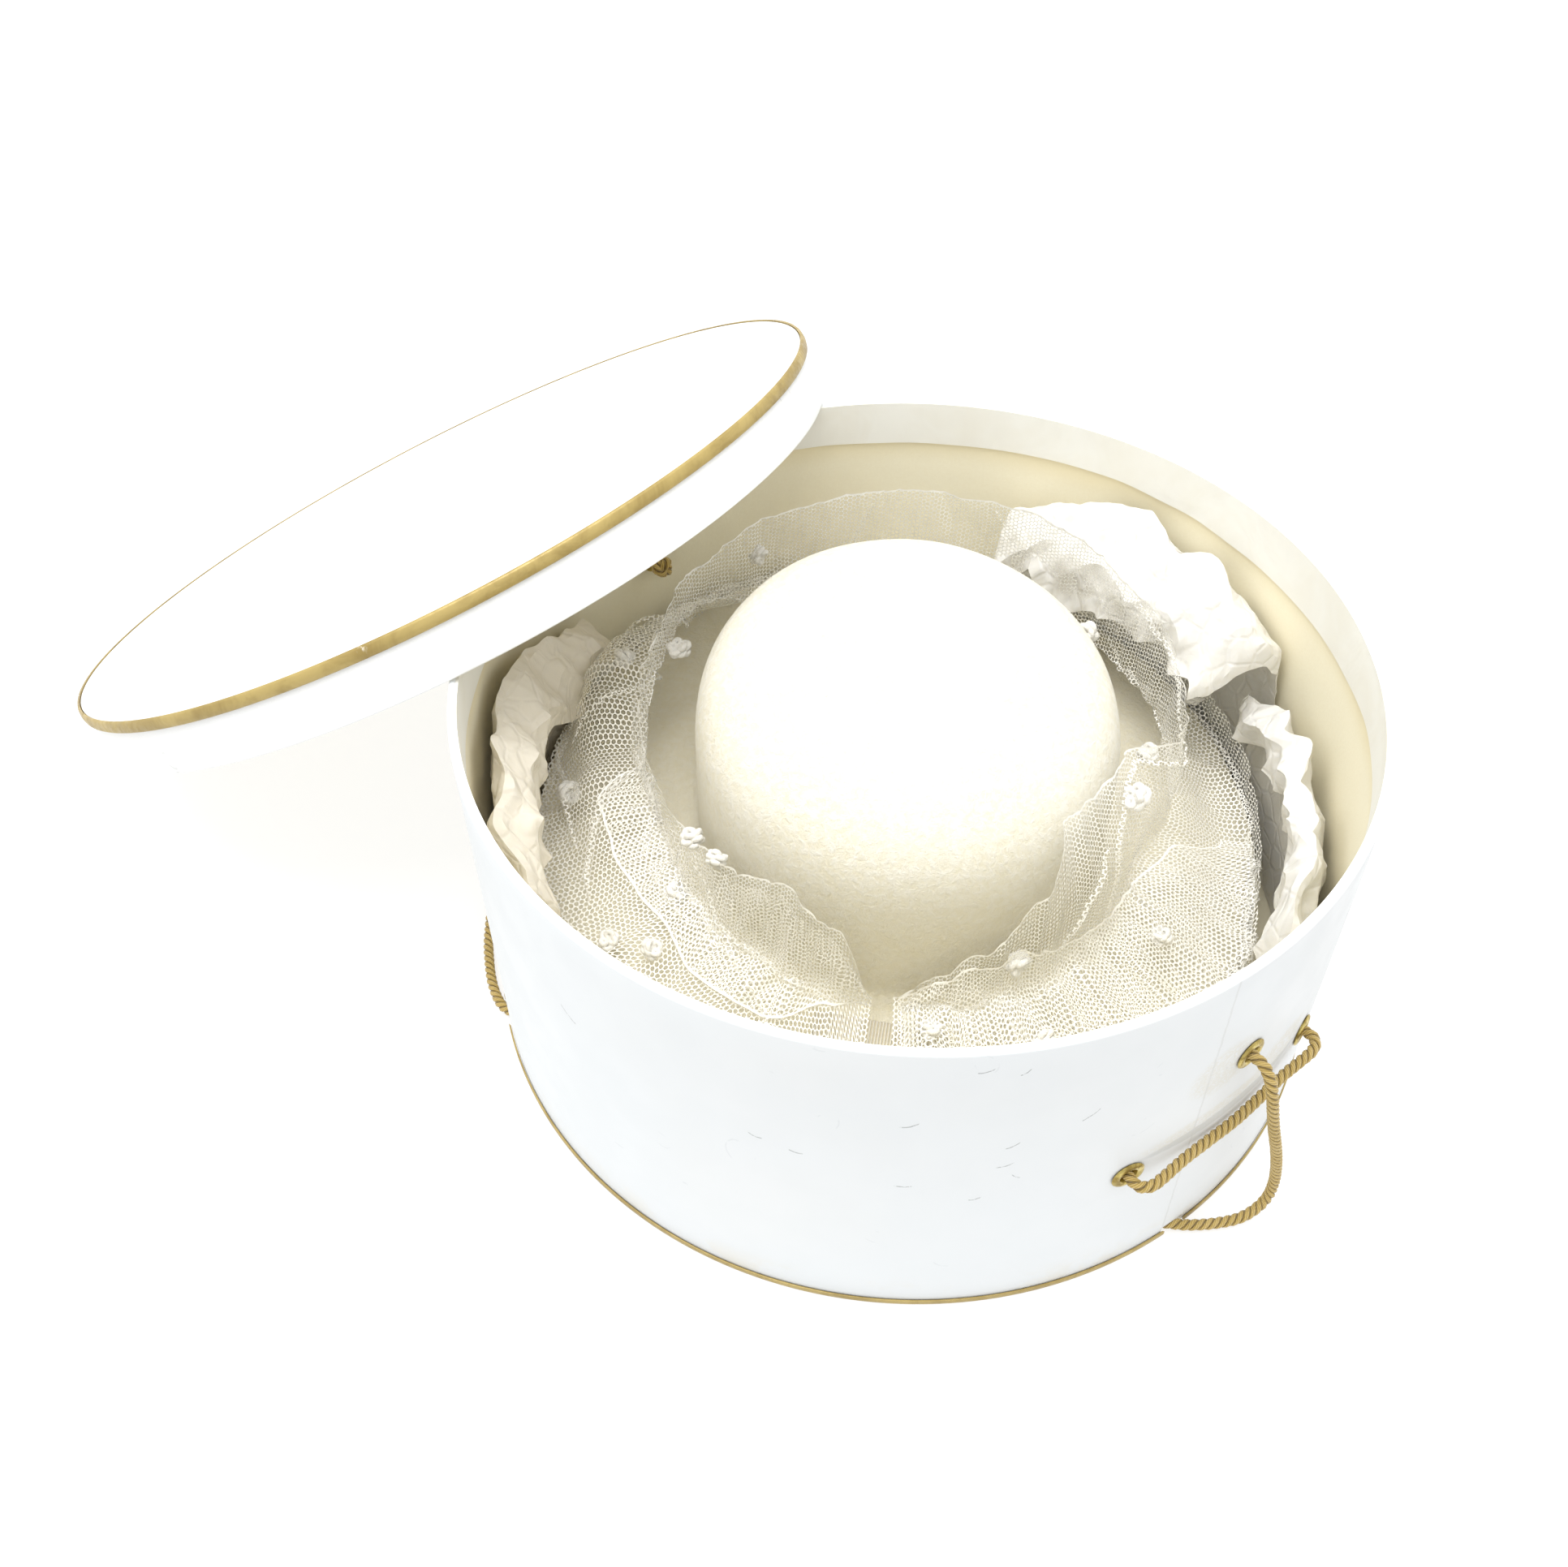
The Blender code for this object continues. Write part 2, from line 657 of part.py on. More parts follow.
def build_eyelets(finish, collection):
    top = GAP + EYELET_FLANGE_THICK
    back = EYELET_LIP - EYELET_DEPTH
    profile = (
        (EYELET_HOLE + EYELET_EDGE, top),
        (EYELET_FLANGE - EYELET_EDGE, top - 0.25 * EYELET_EDGE),
        (EYELET_FLANGE, GAP + 0.4 * EYELET_FLANGE_THICK),
        (EYELET_FLANGE - 0.25 * EYELET_EDGE, GAP),
        (EYELET_BARREL, GAP),
        (EYELET_BARREL, back),
        (EYELET_BACK, back),
        (EYELET_BACK, back - EYELET_LIP),
        (EYELET_HOLE, back - EYELET_LIP),
        (EYELET_HOLE, top - 0.5 * EYELET_EDGE),
    )
    for name, azimuth, height in eyelet_places():
        eyelet = turned(name, profile, finish, collection, EYELET_STEPS)
        eyelet.matrix_world = radial_matrix(azimuth, BOX_RADIUS, height)


# Lid


def lid_matrix():
    """The lid's foot is on the table, and its panel or its skirt lies on the rim of the box."""
    lean = math.radians(LID_LEAN_DEG)
    top = LID_DEPTH * math.cos(lean) + LID_OUTER * math.sin(lean)
    panel = BOARD + GAP
    reach = BOX_RADIUS + (math.cos(lean) * (BOX_HEIGHT - top) + panel) / math.sin(lean)
    turned_over = Matrix.Rotation(lean, 4, "Y")
    while skirt_height_over_rim(Matrix.Translation((reach, 0.0, top)) @ turned_over) < 2 * GAP:
        reach += GAP
    turn = Matrix.Rotation(math.radians(LID_AZIMUTH_DEG), 4, "Z")
    return Matrix.Translation(polar(LID_AZIMUTH_DEG, reach, top)) @ turn @ turned_over


def skirt_height_over_rim(place):
    """The least height of the skirt's lower edge over the rim, where it crosses the box's wall."""
    least = BOX_HEIGHT
    samples = 720
    for i in range(samples):
        for radius in (LID_OUTER, LID_OUTER - BOARD):
            point = place @ polar(360 * i / samples, radius, -LID_DEPTH)
            if BOX_INNER - RIM_PAPER - 2 * GAP < math.hypot(point.x, point.y) < BOX_RADIUS + GAP:
                least = min(least, point.z - BOX_HEIGHT)
    return least


def build_lid(finishes, collection):
    place = lid_matrix()
    paper = finishes["paper"]
    panel = disc("lid_panel", LID_OUTER, -BOARD, 0.0, paper, collection)
    skirt_top = -BOARD - GAP
    skirt = ring("lid_skirt", LID_OUTER - BOARD, LID_OUTER, -LID_DEPTH, skirt_top, paper, collection)
    inner = LID_OUTER + GAP
    outer = inner + LID_TRIM
    bulge = 0.25 * LID_TRIM
    low = -LID_TRIM_HEIGHT
    profile = ((inner, GAP), (outer - bulge, GAP), (outer, low / 2), (outer - bulge, low), (inner, low))
    trim = turned("lid_trim", profile, finishes["gold_paper"], collection, RING_STEPS)
    for piece in (panel, skirt, trim):
        piece.matrix_world = place


# Cords


def smooth_route(points, spacing):
    """Evenly spaced points on a smooth curve through a route's own points."""
    route = [Vector(point) for point in points]
    ends = [2 * route[0] - route[1]] + route + [2 * route[-1] - route[-2]]
    fine = []
    parts = 24
    for a, b, c, d in zip(ends, ends[1:], ends[2:], ends[3:]):
        for i in range(parts):
            t = i / parts
            bend = 2 * a - 5 * b + 4 * c - d
            twist = 3 * b - a - 3 * c + d
            fine.append(0.5 * (2 * b + t * (c - a) + t * t * bend + t * t * t * twist))
    fine.append(route[-1])
    lengths = [0.0]
    for first, second in zip(fine, fine[1:]):
        lengths.append(lengths[-1] + (second - first).length)
    count = max(2, round(lengths[-1] / spacing))
    made = []
    index = 0
    for i in range(count + 1):
        goal = lengths[-1] * i / count
        while index < len(fine) - 2 and lengths[index + 1] < goal:
            index += 1
        share = (goal - lengths[index]) / (lengths[index + 1] - lengths[index])
        made.append(fine[index].lerp(fine[index + 1], share))
    return made


def build_cord(name, route, spacing, finish, collection):
    curve = bpy.data.curves.new(name, "CURVE")
    curve.dimensions = "3D"
    curve.bevel_depth = CORD_RADIUS
    curve.bevel_resolution = 2
    curve.use_fill_caps = True
    points = smooth_route(route, spacing)
    spline = curve.splines.new("POLY")
    spline.points.add(len(points) - 1)
    for spot, point in zip(spline.points, points):
        spot.co = (*point, 1.0)
    return add_object(name, curve, finish, collection)


def build_knot(name, azimuth, height, finish, collection):
    drum(name, KNOT_RADIUS, 2 * KNOT_RADIUS, radial_matrix(azimuth, KNOT_SEAT, height), finish, collection)


def build_cords(finish, collection):
    swag = [polar(*row) for row in SWAG_ROUTE]
    build_cord("swag_cord", swag, SWAG_SPACING, finish, collection)
    build_cord("carry_cord", CARRY_ROUTE, CARRY_SPACING, finish, collection)
    for name, azimuth, height in eyelet_places():
        build_knot(name.replace("eyelet", "knot"), azimuth, height, finish, collection)


# Packing paper


def build_bed(finish, collection):
    """A ring of crumpled paper on the box floor that carries the brim all round."""
    place = hat_matrix()
    rows = []
    for i in range(HAT_STEPS):
        azimuth = 360 * i / HAT_STEPS
        turn = math.radians(azimuth)
        lump = 0.5 * CRUMPLE * math.sin(5 * turn) + 0.5 * CRUMPLE * math.sin(11 * turn + 1.0)

        def under(radius, drop):
            height = brim_top(radius) + brim_wave(radius, turn) - FELT - drop
            return place @ Vector((radius * math.cos(turn), radius * math.sin(turn), height))

        def foot(radius):
            flat = place @ Vector((radius * math.cos(turn), radius * math.sin(turn), 0.0))
            return Vector((flat.x, flat.y, FLOOR + GAP))

        inner, outer = BED_RADIUS - BED_HALF_WIDTH - lump, BED_RADIUS + BED_HALF_WIDTH + lump
        seat = 2 * GAP
        top_in = under(BED_RADIUS - 0.4 * BED_HALF_WIDTH, seat)
        top_out = under(BED_RADIUS + 0.4 * BED_HALF_WIDTH, seat)
        low_in, low_out = foot(inner + 0.2 * BED_HALF_WIDTH), foot(outer - 0.2 * BED_HALF_WIDTH)
        mid_in = under(inner, 0.0).lerp(foot(inner), 0.55)
        mid_out = under(outer, 0.0).lerp(foot(outer), 0.55)
        rows.append([top_in, top_out, mid_out, low_out, low_in, mid_in])
    lofted("tissue_bed", rows, finish, collection, wrap_rows=True, wrap_columns=True)


def build_sheet(name, start_deg, end_deg, folds, finish, collection):
    """An upright crumpled sheet between the brim and the wall, its top folded over inwards."""
    steps = max(4, round((end_deg - start_deg) / 5.5))
    rows = []
    for i in range(steps + 1):
        share = i / steps
        azimuth = start_deg + (end_deg - start_deg) * share
        taper = 0.3 + 0.7 * math.sin(math.pi * share)
        row = []
        for j, (reach, rise) in enumerate(folds):
            inset = reach * PAPER_REACH
            loose = j / (len(folds) - 1)
            turn = math.radians(azimuth)
            spot = Vector((7 * math.cos(turn), 7 * math.sin(turn), 1.7 * j))
            wrinkle = CRUMPLE * loose * noise.noise(spot)
            standing = folds[FREE_FOLD_INDEX][1]
            loose_rise = rise if j <= FREE_FOLD_INDEX else standing + (rise - standing) * taper
            height = FLOOR + 2 * GAP + loose_rise * (BOX_HEIGHT - FLOOR)
            height += 1.5 * CRUMPLE * loose * noise.noise(spot + Vector((3.0, 5.0, 9.0)))
            wrinkle = max(-0.6 * inset, min(0.4 * inset, wrinkle))
            radius = BOX_INNER - RIM_PAPER - inset - wrinkle
            row.append(polar(azimuth, radius, max(height, FLOOR + 2 * GAP)))
        rows.append(row)
    return give_wall(lofted(name, rows, finish, collection), PAPER, even=False)


def build_paper(finish, collection):
    build_bed(finish, collection)
    build_sheet("tissue_left", 146.0, 204.0, PAPER_LEFT, finish, collection)
    build_sheet("tissue_back", 26.0, 64.0, PAPER_BACK, finish, collection)
    build_sheet("tissue_right", -30.0, 20.0, PAPER_RIGHT, finish, collection)


def centre_on_floor(collections):
    """Moves everything so that the origin is under the middle of the group without its cords."""
    bpy.context.view_layer.update()
    graph = bpy.context.evaluated_depsgraph_get()
    low, high = Vector((9.0, 9.0, 9.0)), Vector((-9.0, -9.0, -9.0))
    for item in collections[0].objects:
        if "cord" in item.name or "knot" in item.name:
            continue
        ready = item.evaluated_get(graph)
        for vertex in ready.to_mesh().vertices:
            point = item.matrix_world @ vertex.co
            low = Vector(map(min, low, point))
            high = Vector(map(max, high, point))
        ready.to_mesh_clear()
    shift = Matrix.Translation((-(low.x + high.x) / 2, -(low.y + high.y) / 2, 0.0))
    for collection in collections:
        for item in collection.objects:
            item.matrix_world = shift @ item.matrix_world


def main():
    clear_scene()
    parts = new_collection("veiled_hat_in_box")
    cutters = new_collection("cutters")
    finishes = {
        "felt": material("ivory_felt", (0.93, 0.89, 0.78), 0.95),
        "net": material("ivory_net", (0.94, 0.90, 0.80), 0.85),
        "tuft": material("white_chenille", (0.97, 0.95, 0.90), 0.9),
        "ribbon": material("ivory_grosgrain", (0.95, 0.90, 0.76), 0.6),
        "paper": material("white_box_paper", (0.93, 0.93, 0.93), 0.45),
        "board": material("tan_board", (0.86, 0.78, 0.62), 0.85),
        "gold_paper": material("gold_paper", (0.60, 0.46, 0.20), 0.45, 0.3),
        "brass": material("brass", (0.70, 0.58, 0.22), 0.35, 1.0),
        "rope": material("gold_rope", (0.66, 0.48, 0.20), 0.7),
        "tissue": material("white_tissue", (0.95, 0.94, 0.91), 0.7),
    }
    build_felt(finishes["felt"], parts)
    build_veil(finishes["net"], parts)
    build_dots(finishes["tuft"], parts)
    build_ribbon("ribbon_tab", RIBBON_WIDTH, 0.0, finishes["ribbon"], parts)
    beside = (RIBBON_WIDTH + RIBBON_TAIL_WIDTH) / 2 + 3 * GAP
    build_ribbon("ribbon_tail", RIBBON_TAIL_WIDTH, beside, finishes["ribbon"], parts)
    holes, slots, halves = build_cutters(cutters)
    build_box(finishes, parts, holes, slots, halves)
    build_eyelets(finishes["brass"], parts)
    build_lid(finishes, parts)
    build_cords(finishes["rope"], parts)
    build_paper(finishes["tissue"], parts)
    centre_on_floor((parts, cutters))


main()
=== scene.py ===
"""Looks of a veiled wool felt hat, packed in tissue in a round hat box whose lid leans on the rim.

Metres, +Z up. Everything is placed from the frame and from named sizes of the real object.
"""

import math

import bpy
from mathutils import Matrix, Vector, noise


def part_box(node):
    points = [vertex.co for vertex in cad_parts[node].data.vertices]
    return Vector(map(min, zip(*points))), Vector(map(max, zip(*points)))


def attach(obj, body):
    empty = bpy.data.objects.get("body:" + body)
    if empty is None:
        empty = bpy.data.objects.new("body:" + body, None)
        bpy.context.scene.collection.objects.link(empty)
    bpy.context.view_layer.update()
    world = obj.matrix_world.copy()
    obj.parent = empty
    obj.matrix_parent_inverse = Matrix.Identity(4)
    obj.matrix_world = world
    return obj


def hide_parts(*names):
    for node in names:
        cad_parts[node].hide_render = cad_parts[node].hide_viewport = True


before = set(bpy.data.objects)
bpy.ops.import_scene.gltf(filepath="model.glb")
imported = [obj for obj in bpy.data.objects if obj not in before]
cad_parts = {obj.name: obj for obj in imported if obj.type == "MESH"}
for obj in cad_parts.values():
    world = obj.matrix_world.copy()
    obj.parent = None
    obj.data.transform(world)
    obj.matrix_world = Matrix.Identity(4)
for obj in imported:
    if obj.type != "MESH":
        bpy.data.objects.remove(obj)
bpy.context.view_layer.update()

# The box's axis and sizes, read from the frame
wall_low, wall_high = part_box("box_wall")
AXIS_X = (wall_low.x + wall_high.x) / 2
AXIS_Y = (wall_low.y + wall_high.y) / 2
BOX_HEIGHT = wall_high.z
BOX_RADIUS = (wall_high.x - wall_low.x) / 2
BOARD = 0.0025
BOX_INNER = BOX_RADIUS - BOARD
TO_AXIS = Matrix.Translation((AXIS_X, AXIS_Y, 0.0))

# Sizes of the solids that the finer pieces stand for
GAP = 0.0003
BRIM_RADIUS = 0.159
CROWN_RADIUS = 0.0875
CROWN_OVAL = 0.02
CROWN_HEIGHT = 0.108
CROWN_WALL_HEIGHT = 0.054
CROWN_ROUNDNESS = 3.6
CROWN_LEAN_BACK = 0.0105
CROWN_LEAN_LEFT = 0.003
BRIM_RISE = 0.0095
BRIM_FILLET = 0.008
BRIM_WAVE = 0.0015
FELT_WALL = 0.0025
HAT_SHIFT = (-0.002, 0.0145)
HAT_LIFT = 0.054
HAT_TILT_BACK_DEG = 8.2
HAT_TILT_LEFT_DEG = 2.7
VEIL_STAND = 0.045
VEIL_REST = 0.0013
VEIL_LIFT = 0.0016
LAYER_LIFT = 0.0014
PINCH_HEIGHT = 0.0020
PINCH_WIDTH = 0.0032
NET_PITCH = 0.0024
NET_GATHER = 1.15
PINCH_FROM_HEM = 0.05
VEIL_SPLIT_DEG = 263.0
VEIL_SPLIT_HALF_DEG = 2.5
VEIL_EDGE_INSET = 0.0015
VEIL_TO_WALL = 0.004
RIBBON_WIDTH = 0.042
RIBBON_LENGTH = 0.040
RIBBON_TAIL_WIDTH = 0.011
RIBBON_AZIMUTH_DEG = 260.0
RIBBON_START = 0.003
BASE_TRIM_HEIGHT = 0.0028
BASE_TRIM = 0.0007
RIM_PAPER = 0.0008
LID_CLEARANCE = 0.0061
LID_OUTER = BOX_RADIUS + LID_CLEARANCE + BOARD
LID_DEPTH = 0.027
LID_TRIM_HEIGHT = 0.0052
LID_TRIM = 0.0017
LID_LEAN_DEG = 30.5
LID_AZIMUTH_DEG = 141.15
CORD_RADIUS = 0.00235
CORD_PITCH = 0.0100
EYELET_HOLE = 0.0036
EYELET_BARREL = 0.0046
EYELET_FLANGE = 0.0068
EYELET_FLANGE_THICK = 0.0012
EYELET_BACK = 0.0056
EYELET_LIP = 0.0006
EYELET_DEPTH = BOARD + 2.5 * GAP + EYELET_LIP
EYELET_PLACES = {
    "left": (-67.0, 0.0705),
    "right": (-35.4, 0.0705),
    "carry": (-51.6, 0.1103),
    "back": (129.0, 0.1103),
}
BASE_RECESS = 2 * CORD_RADIUS + 0.0009
FLOOR = BASE_RECESS + BOARD

# Camera, fitted to the photograph: place from the box's axis at floor level
CAMERA_PLACE = (-0.0517, -0.4696, 0.6048)
CAMERA_DOWN_DEG = 46.9244
CAMERA_ROLL_DEG = -0.8472
LENS = 37.957
SENSOR = 36.0

# Each row is one fold of the veil round the crown, as on the solid
VEIL_ROWS = (
    # azimuth, hem_height, stand, crest_reach, crest_height, outer_reach, outer_height
    (265.5, 0.22, 0.06, 0.30, 0.15, 1.00, 0.020),
    (272.0, 0.35, 0.05, 0.32, 0.17, 1.02, 0.010),
    (287.0, 0.50, 0.05, 0.34, 0.16, 1.04, 0.010),
    (298.0, 0.70, 0.06, 0.36, 0.15, 1.05, 0.020),
    (310.0, 0.88, 0.05, 0.36, 0.16, 1.05, 0.030),
    (335.0, 0.90, 0.16, 0.38, 0.20, 1.04, 0.080),
    (360.0, 0.74, 0.46, 0.44, 0.24, 1.01, 0.220),
    (390.0, 0.74, 0.62, 0.48, 0.26, 0.98, 0.260),
    (420.0, 0.78, 0.72, 0.46, 0.24, 0.97, 0.080),
    (450.0, 0.78, 0.68, 0.42, 0.20, 0.95, 0.030),
    (475.0, 0.70, 0.78, 0.46, 0.22, 0.95, 0.030),
    (495.0, 0.62, 0.74, 0.62, 0.34, 0.96, 0.060),
    (515.0, 0.66, 0.50, 0.74, 0.44, 0.98, 0.120),
    (535.0, 0.58, 0.42, 0.62, 0.28, 1.00, 0.060),
    (552.0, 0.44, 0.18, 0.50, 0.18, 1.01, 0.020),
    (562.0, 0.42, 0.06, 0.44, 0.16, 1.01, 0.015),
    (576.0, 0.56, 0.05, 0.38, 0.17, 1.01, 0.010),
    (598.0, 0.70, 0.05, 0.36, 0.17, 1.02, 0.010),
    (612.0, 0.60, 0.05, 0.34, 0.16, 1.02, 0.010),
    (620.5, 0.22, 0.06, 0.30, 0.15, 1.00, 0.020),
)

# Routes of the two cords round the box's axis, the same as their solids follow
SWAG_ROUTE = (
    # azimuth, radius, height
    (-67.0, 0.1764, 0.0705),
    (-67.0, 0.1832, 0.0705),
    (-66.5, 0.1866, 0.0704),
    (-65.2, 0.1878, 0.0702),
    (-63.4, 0.1866, 0.0698),
    (-60.0, 0.1842, 0.0694),
    (-56.0, 0.1831, 0.0690),
    (-51.2, 0.1830, 0.0687),
    (-46.4, 0.1831, 0.0688),
    (-42.4, 0.1842, 0.0692),
    (-39.0, 0.1866, 0.0698),
    (-37.2, 0.1878, 0.0702),
    (-35.9, 0.1866, 0.0704),
    (-35.4, 0.1832, 0.0705),
    (-35.4, 0.1764, 0.0705),
)
CARRY_ROUTE = (
    # x, y, z
    (0.1096, -0.1382, 0.1103),
    (0.1128, -0.1423, 0.1102),
    (0.1162, -0.1462, 0.1092),
    (0.1188, -0.1494, 0.1040),
    (0.1208, -0.1508, 0.0960),
    (0.1258, -0.1496, 0.0750),
    (0.1322, -0.1462, 0.0520),
    (0.1368, -0.1430, 0.0330),
    (0.1392, -0.1412, 0.0180),
    (0.1385, -0.1418, 0.0085),
    (0.1340, -0.1446, 0.0040),
    (0.1258, -0.1482, 0.0028),
    (0.1130, -0.1502, 0.0027),
    (0.1010, -0.1498, 0.0027),
    (0.0880, -0.1462, 0.0027),
    (0.0450, -0.1300, 0.0027),
    (-0.0600, -0.0880, 0.0027),
    (-0.1500, -0.0530, 0.0027),
    (-0.1690, -0.0446, 0.0027),
    (-0.1777, -0.0395, 0.0027),
    (-0.1828, -0.0300, 0.0027),
    (-0.1862, -0.0170, 0.0027),
    (-0.1886, 0.0020, 0.0027),
    (-0.1880, 0.0300, 0.0027),
    (-0.1800, 0.0620, 0.0027),
    (-0.1670, 0.0930, 0.0027),
    (-0.1500, 0.1200, 0.0027),
    (-0.1370, 0.1360, 0.0034),
    (-0.1292, 0.1446, 0.0100),
    (-0.1252, 0.1490, 0.0250),
    (-0.1226, 0.1508, 0.0550),
    (-0.1212, 0.1498, 0.0850),
    (-0.1200, 0.1482, 0.1020),
    (-0.1177, 0.1454, 0.1092),
    (-0.1143, 0.1411, 0.1102),
    (-0.1110, 0.1371, 0.1103),
)
SLOT_POINTS = (13, 19)

# Second layers of the net, each from one share of the way from hem to edge to another
LEFT_LAYER = (
    # azimuth, start, end
    (528.0, 0.02, 0.12),
    (536.0, 0.02, 0.36),
    (543.0, 0.02, 0.50),
    (556.0, 0.02, 0.51),
    (570.0, 0.02, 0.50),
    (584.0, 0.02, 0.54),
    (600.0, 0.02, 0.53),
    (612.0, 0.02, 0.42),
    (619.5, 0.02, 0.30),
)
RIGHT_LAYER = (
    # azimuth, start, end
    (267.0, 0.02, 0.90),
    (278.0, 0.04, 1.00),
    (292.0, 0.13, 1.00),
    (299.0, 0.20, 1.00),
    (307.0, 0.27, 1.00),
    (317.0, 0.30, 1.00),
    (328.0, 0.34, 1.00),
    (345.0, 0.45, 0.98),
    (356.0, 0.66, 0.92),
)

# Pinched folds of the net: azimuth, and share of the way from hem to edge
PINCHES = (
    (
        (322.0, 0.40),
        (321.0, 0.28),
        (322.0, 0.16),
        (327.0, 0.07),
        (336.0, 0.03),
        (350.0, 0.08),
        (368.0, 0.20),
    ),
    ((410.0, 0.04), (400.0, 0.06), (388.0, 0.09), (374.0, 0.12), (362.0, 0.20)),
    (
        (384.0, 0.76),
        (374.0, 0.80),
        (366.0, 0.80),
        (359.0, 0.83),
        (353.0, 0.87),
        (344.0, 0.90),
        (335.0, 0.95),
    ),
    ((536.0, 0.25), (541.0, 0.45), (548.0, 0.54), (554.0, 0.61), (560.0, 0.66)),
    ((527.0, 0.74), (534.0, 0.64), (541.0, 0.60), (549.0, 0.62)),
    ((539.0, 0.13), (544.0, 0.30), (551.0, 0.41), (562.0, 0.44), (575.0, 0.45), (590.0, 0.42)),
    ((569.0, 0.13), (580.0, 0.26), (592.0, 0.32), (604.0, 0.35), (613.0, 0.37)),
    ((306.0, 0.28), (310.0, 0.22), (316.0, 0.16), (320.0, 0.11)),
    ((552.0, 0.20), (560.0, 0.30), (572.0, 0.37), (586.0, 0.42), (598.0, 0.50), (607.0, 0.62)),
    ((283.0, 0.30), (290.0, 0.40), (300.0, 0.43), (312.0, 0.40)),
    ((495.0, 0.10), (499.0, 0.28), (504.0, 0.45), (510.0, 0.60)),
    ((512.0, 0.08), (517.0, 0.24), (523.0, 0.42), (530.0, 0.56)),
    ((430.0, 0.05), (424.0, 0.18), (416.0, 0.34), (407.0, 0.52)),
    ((400.0, 0.30), (392.0, 0.44), (383.0, 0.60)),
    ((455.0, 0.06), (458.0, 0.22), (463.0, 0.42)),
)

# Each row is one fold line of a packing sheet: distance in from the wall, share of the box's height
PAPER_LEFT = (
    (0.005, 0.0),
    (0.006, 0.24),
    (0.004, 0.46),
    (0.006, 0.62),
    (0.011, 0.76),
    (0.020, 0.66),
    (0.020, 0.54),
)
PAPER_BACK = (
    (0.003, 0.0),
    (0.002, 0.34),
    (0.002, 0.56),
    (0.005, 0.72),
    (0.013, 0.80),
    (0.026, 0.80),
    (0.038, 0.74),
    (0.044, 0.64),
)
PAPER_RIGHT = (
    (0.006, 0.0),
    (0.006, 0.22),
    (0.006, 0.40),
    (0.007, 0.54),
    (0.013, 0.62),
    (0.018, 0.56),
    (0.014, 0.47),
)
FREE_FOLD = 2
CRUMPLE = 0.006

# Marks on the outside of the wall, as the photograph shows them
SEAM_DEG = -58.0
SCUFFS = (
    # azimuth, height, half width, slant
    (-136.4, 0.1150, 0.0040, -0.6),
    (-110.7, 0.1045, 0.0028, -0.2),
    (-106.0, 0.1010, 0.0026, -0.1),
    (-93.8, 0.1275, 0.0034, 0.4),
    (-94.0, 0.0880, 0.0036, 0.0),
    (-86.5, 0.1592, 0.0030, 0.3),
    (-82.3, 0.1568, 0.0018, 0.9),
    (-82.4, 0.1120, 0.0026, 0.6),
    (-82.9, 0.0994, 0.0034, 0.3),
    (-81.4, 0.0911, 0.0018, -0.8),
    (-85.8, 0.0785, 0.0026, 0.2),
    (-73.9, 0.1218, 0.0034, 0.8),
)
BED_RADIUS = BRIM_RADIUS - 0.029
BED_HALF_WIDTH = 0.018

# How finely the round pieces are made
ROUND_STEPS = 240
SMALL_ROUND_STEPS = 48
SHARP_EDGE_DEG = 50

# Light
WORLD_LIGHT = 1.10
OVERHEAD_POWER = 42.0
FLOOR_TONE = 0.32
# Painted light: the floor's own glow, which makes it bright and whitens the shadows on it.
FLOOR_PAINTED_GLOW = 0.72


# Places


def polar(azimuth_deg, radius, height):
    turn = math.radians(azimuth_deg)
    return Vector((radius * math.cos(turn), radius * math.sin(turn), height))


def hat_matrix():
    """From the hat's own frame to the world."""
    tilt = Matrix.Rotation(math.radians(HAT_TILT_BACK_DEG), 4, "X")
    lean = Matrix.Rotation(math.radians(HAT_TILT_LEFT_DEG), 4, "Y")
    return TO_AXIS @ Matrix.Translation((*HAT_SHIFT, HAT_LIFT)) @ lean @ tilt


def radial_matrix(azimuth_deg, radius, height):
    """Local Z points out of the box's wall."""
    turn = Matrix.Rotation(math.radians(azimuth_deg), 4, "Z")
    lay = Matrix.Rotation(math.radians(90), 4, "Y")
    return TO_AXIS @ Matrix.Translation(polar(azimuth_deg, radius, height)) @ turn @ lay


def lid_matrix():
    """The lid's frame, Z = 0 on its upper side, read from the panel's solid."""
    corners = [vertex.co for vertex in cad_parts["lid_panel"].data.vertices]
    low = Vector(map(min, *corners))
    high = Vector(map(max, *corners))
    turn = Matrix.Rotation(math.radians(LID_AZIMUTH_DEG), 4, "Z")
    lean = Matrix.Rotation(math.radians(LID_LEAN_DEG), 4, "Y")
    return Matrix.Translation((low + high) / 2) @ turn @ lean @ Matrix.Translation((0, 0, BOARD / 2))


# Shared ways of making


def deselect():
    bpy.ops.object.select_all(action="DESELECT")


def use(piece):
    """Makes one piece the only one selected."""
    deselect()
    piece.select_set(True)
    bpy.context.view_layer.objects.active = piece


def modify(piece, kind, **settings):
    """Adds a modifier and applies it."""
    use(piece)
    step = piece.modifiers.new(kind.title(), kind)
    for key, value in settings.items():
        setattr(step, key, value)
    bpy.ops.object.modifier_apply(modifier=step.name)


def soften(piece, width, segments):
    """Rounds a piece's sharp edges."""
    modify(
        piece,
        "BEVEL",
        width=width,
        segments=segments,
        limit_method="ANGLE",
        angle_limit=math.radians(SHARP_EDGE_DEG),
    )


def smooth_by_angle(piece, angle_deg):
    use(piece)
    bpy.ops.object.shade_smooth_by_angle(angle=math.radians(angle_deg))


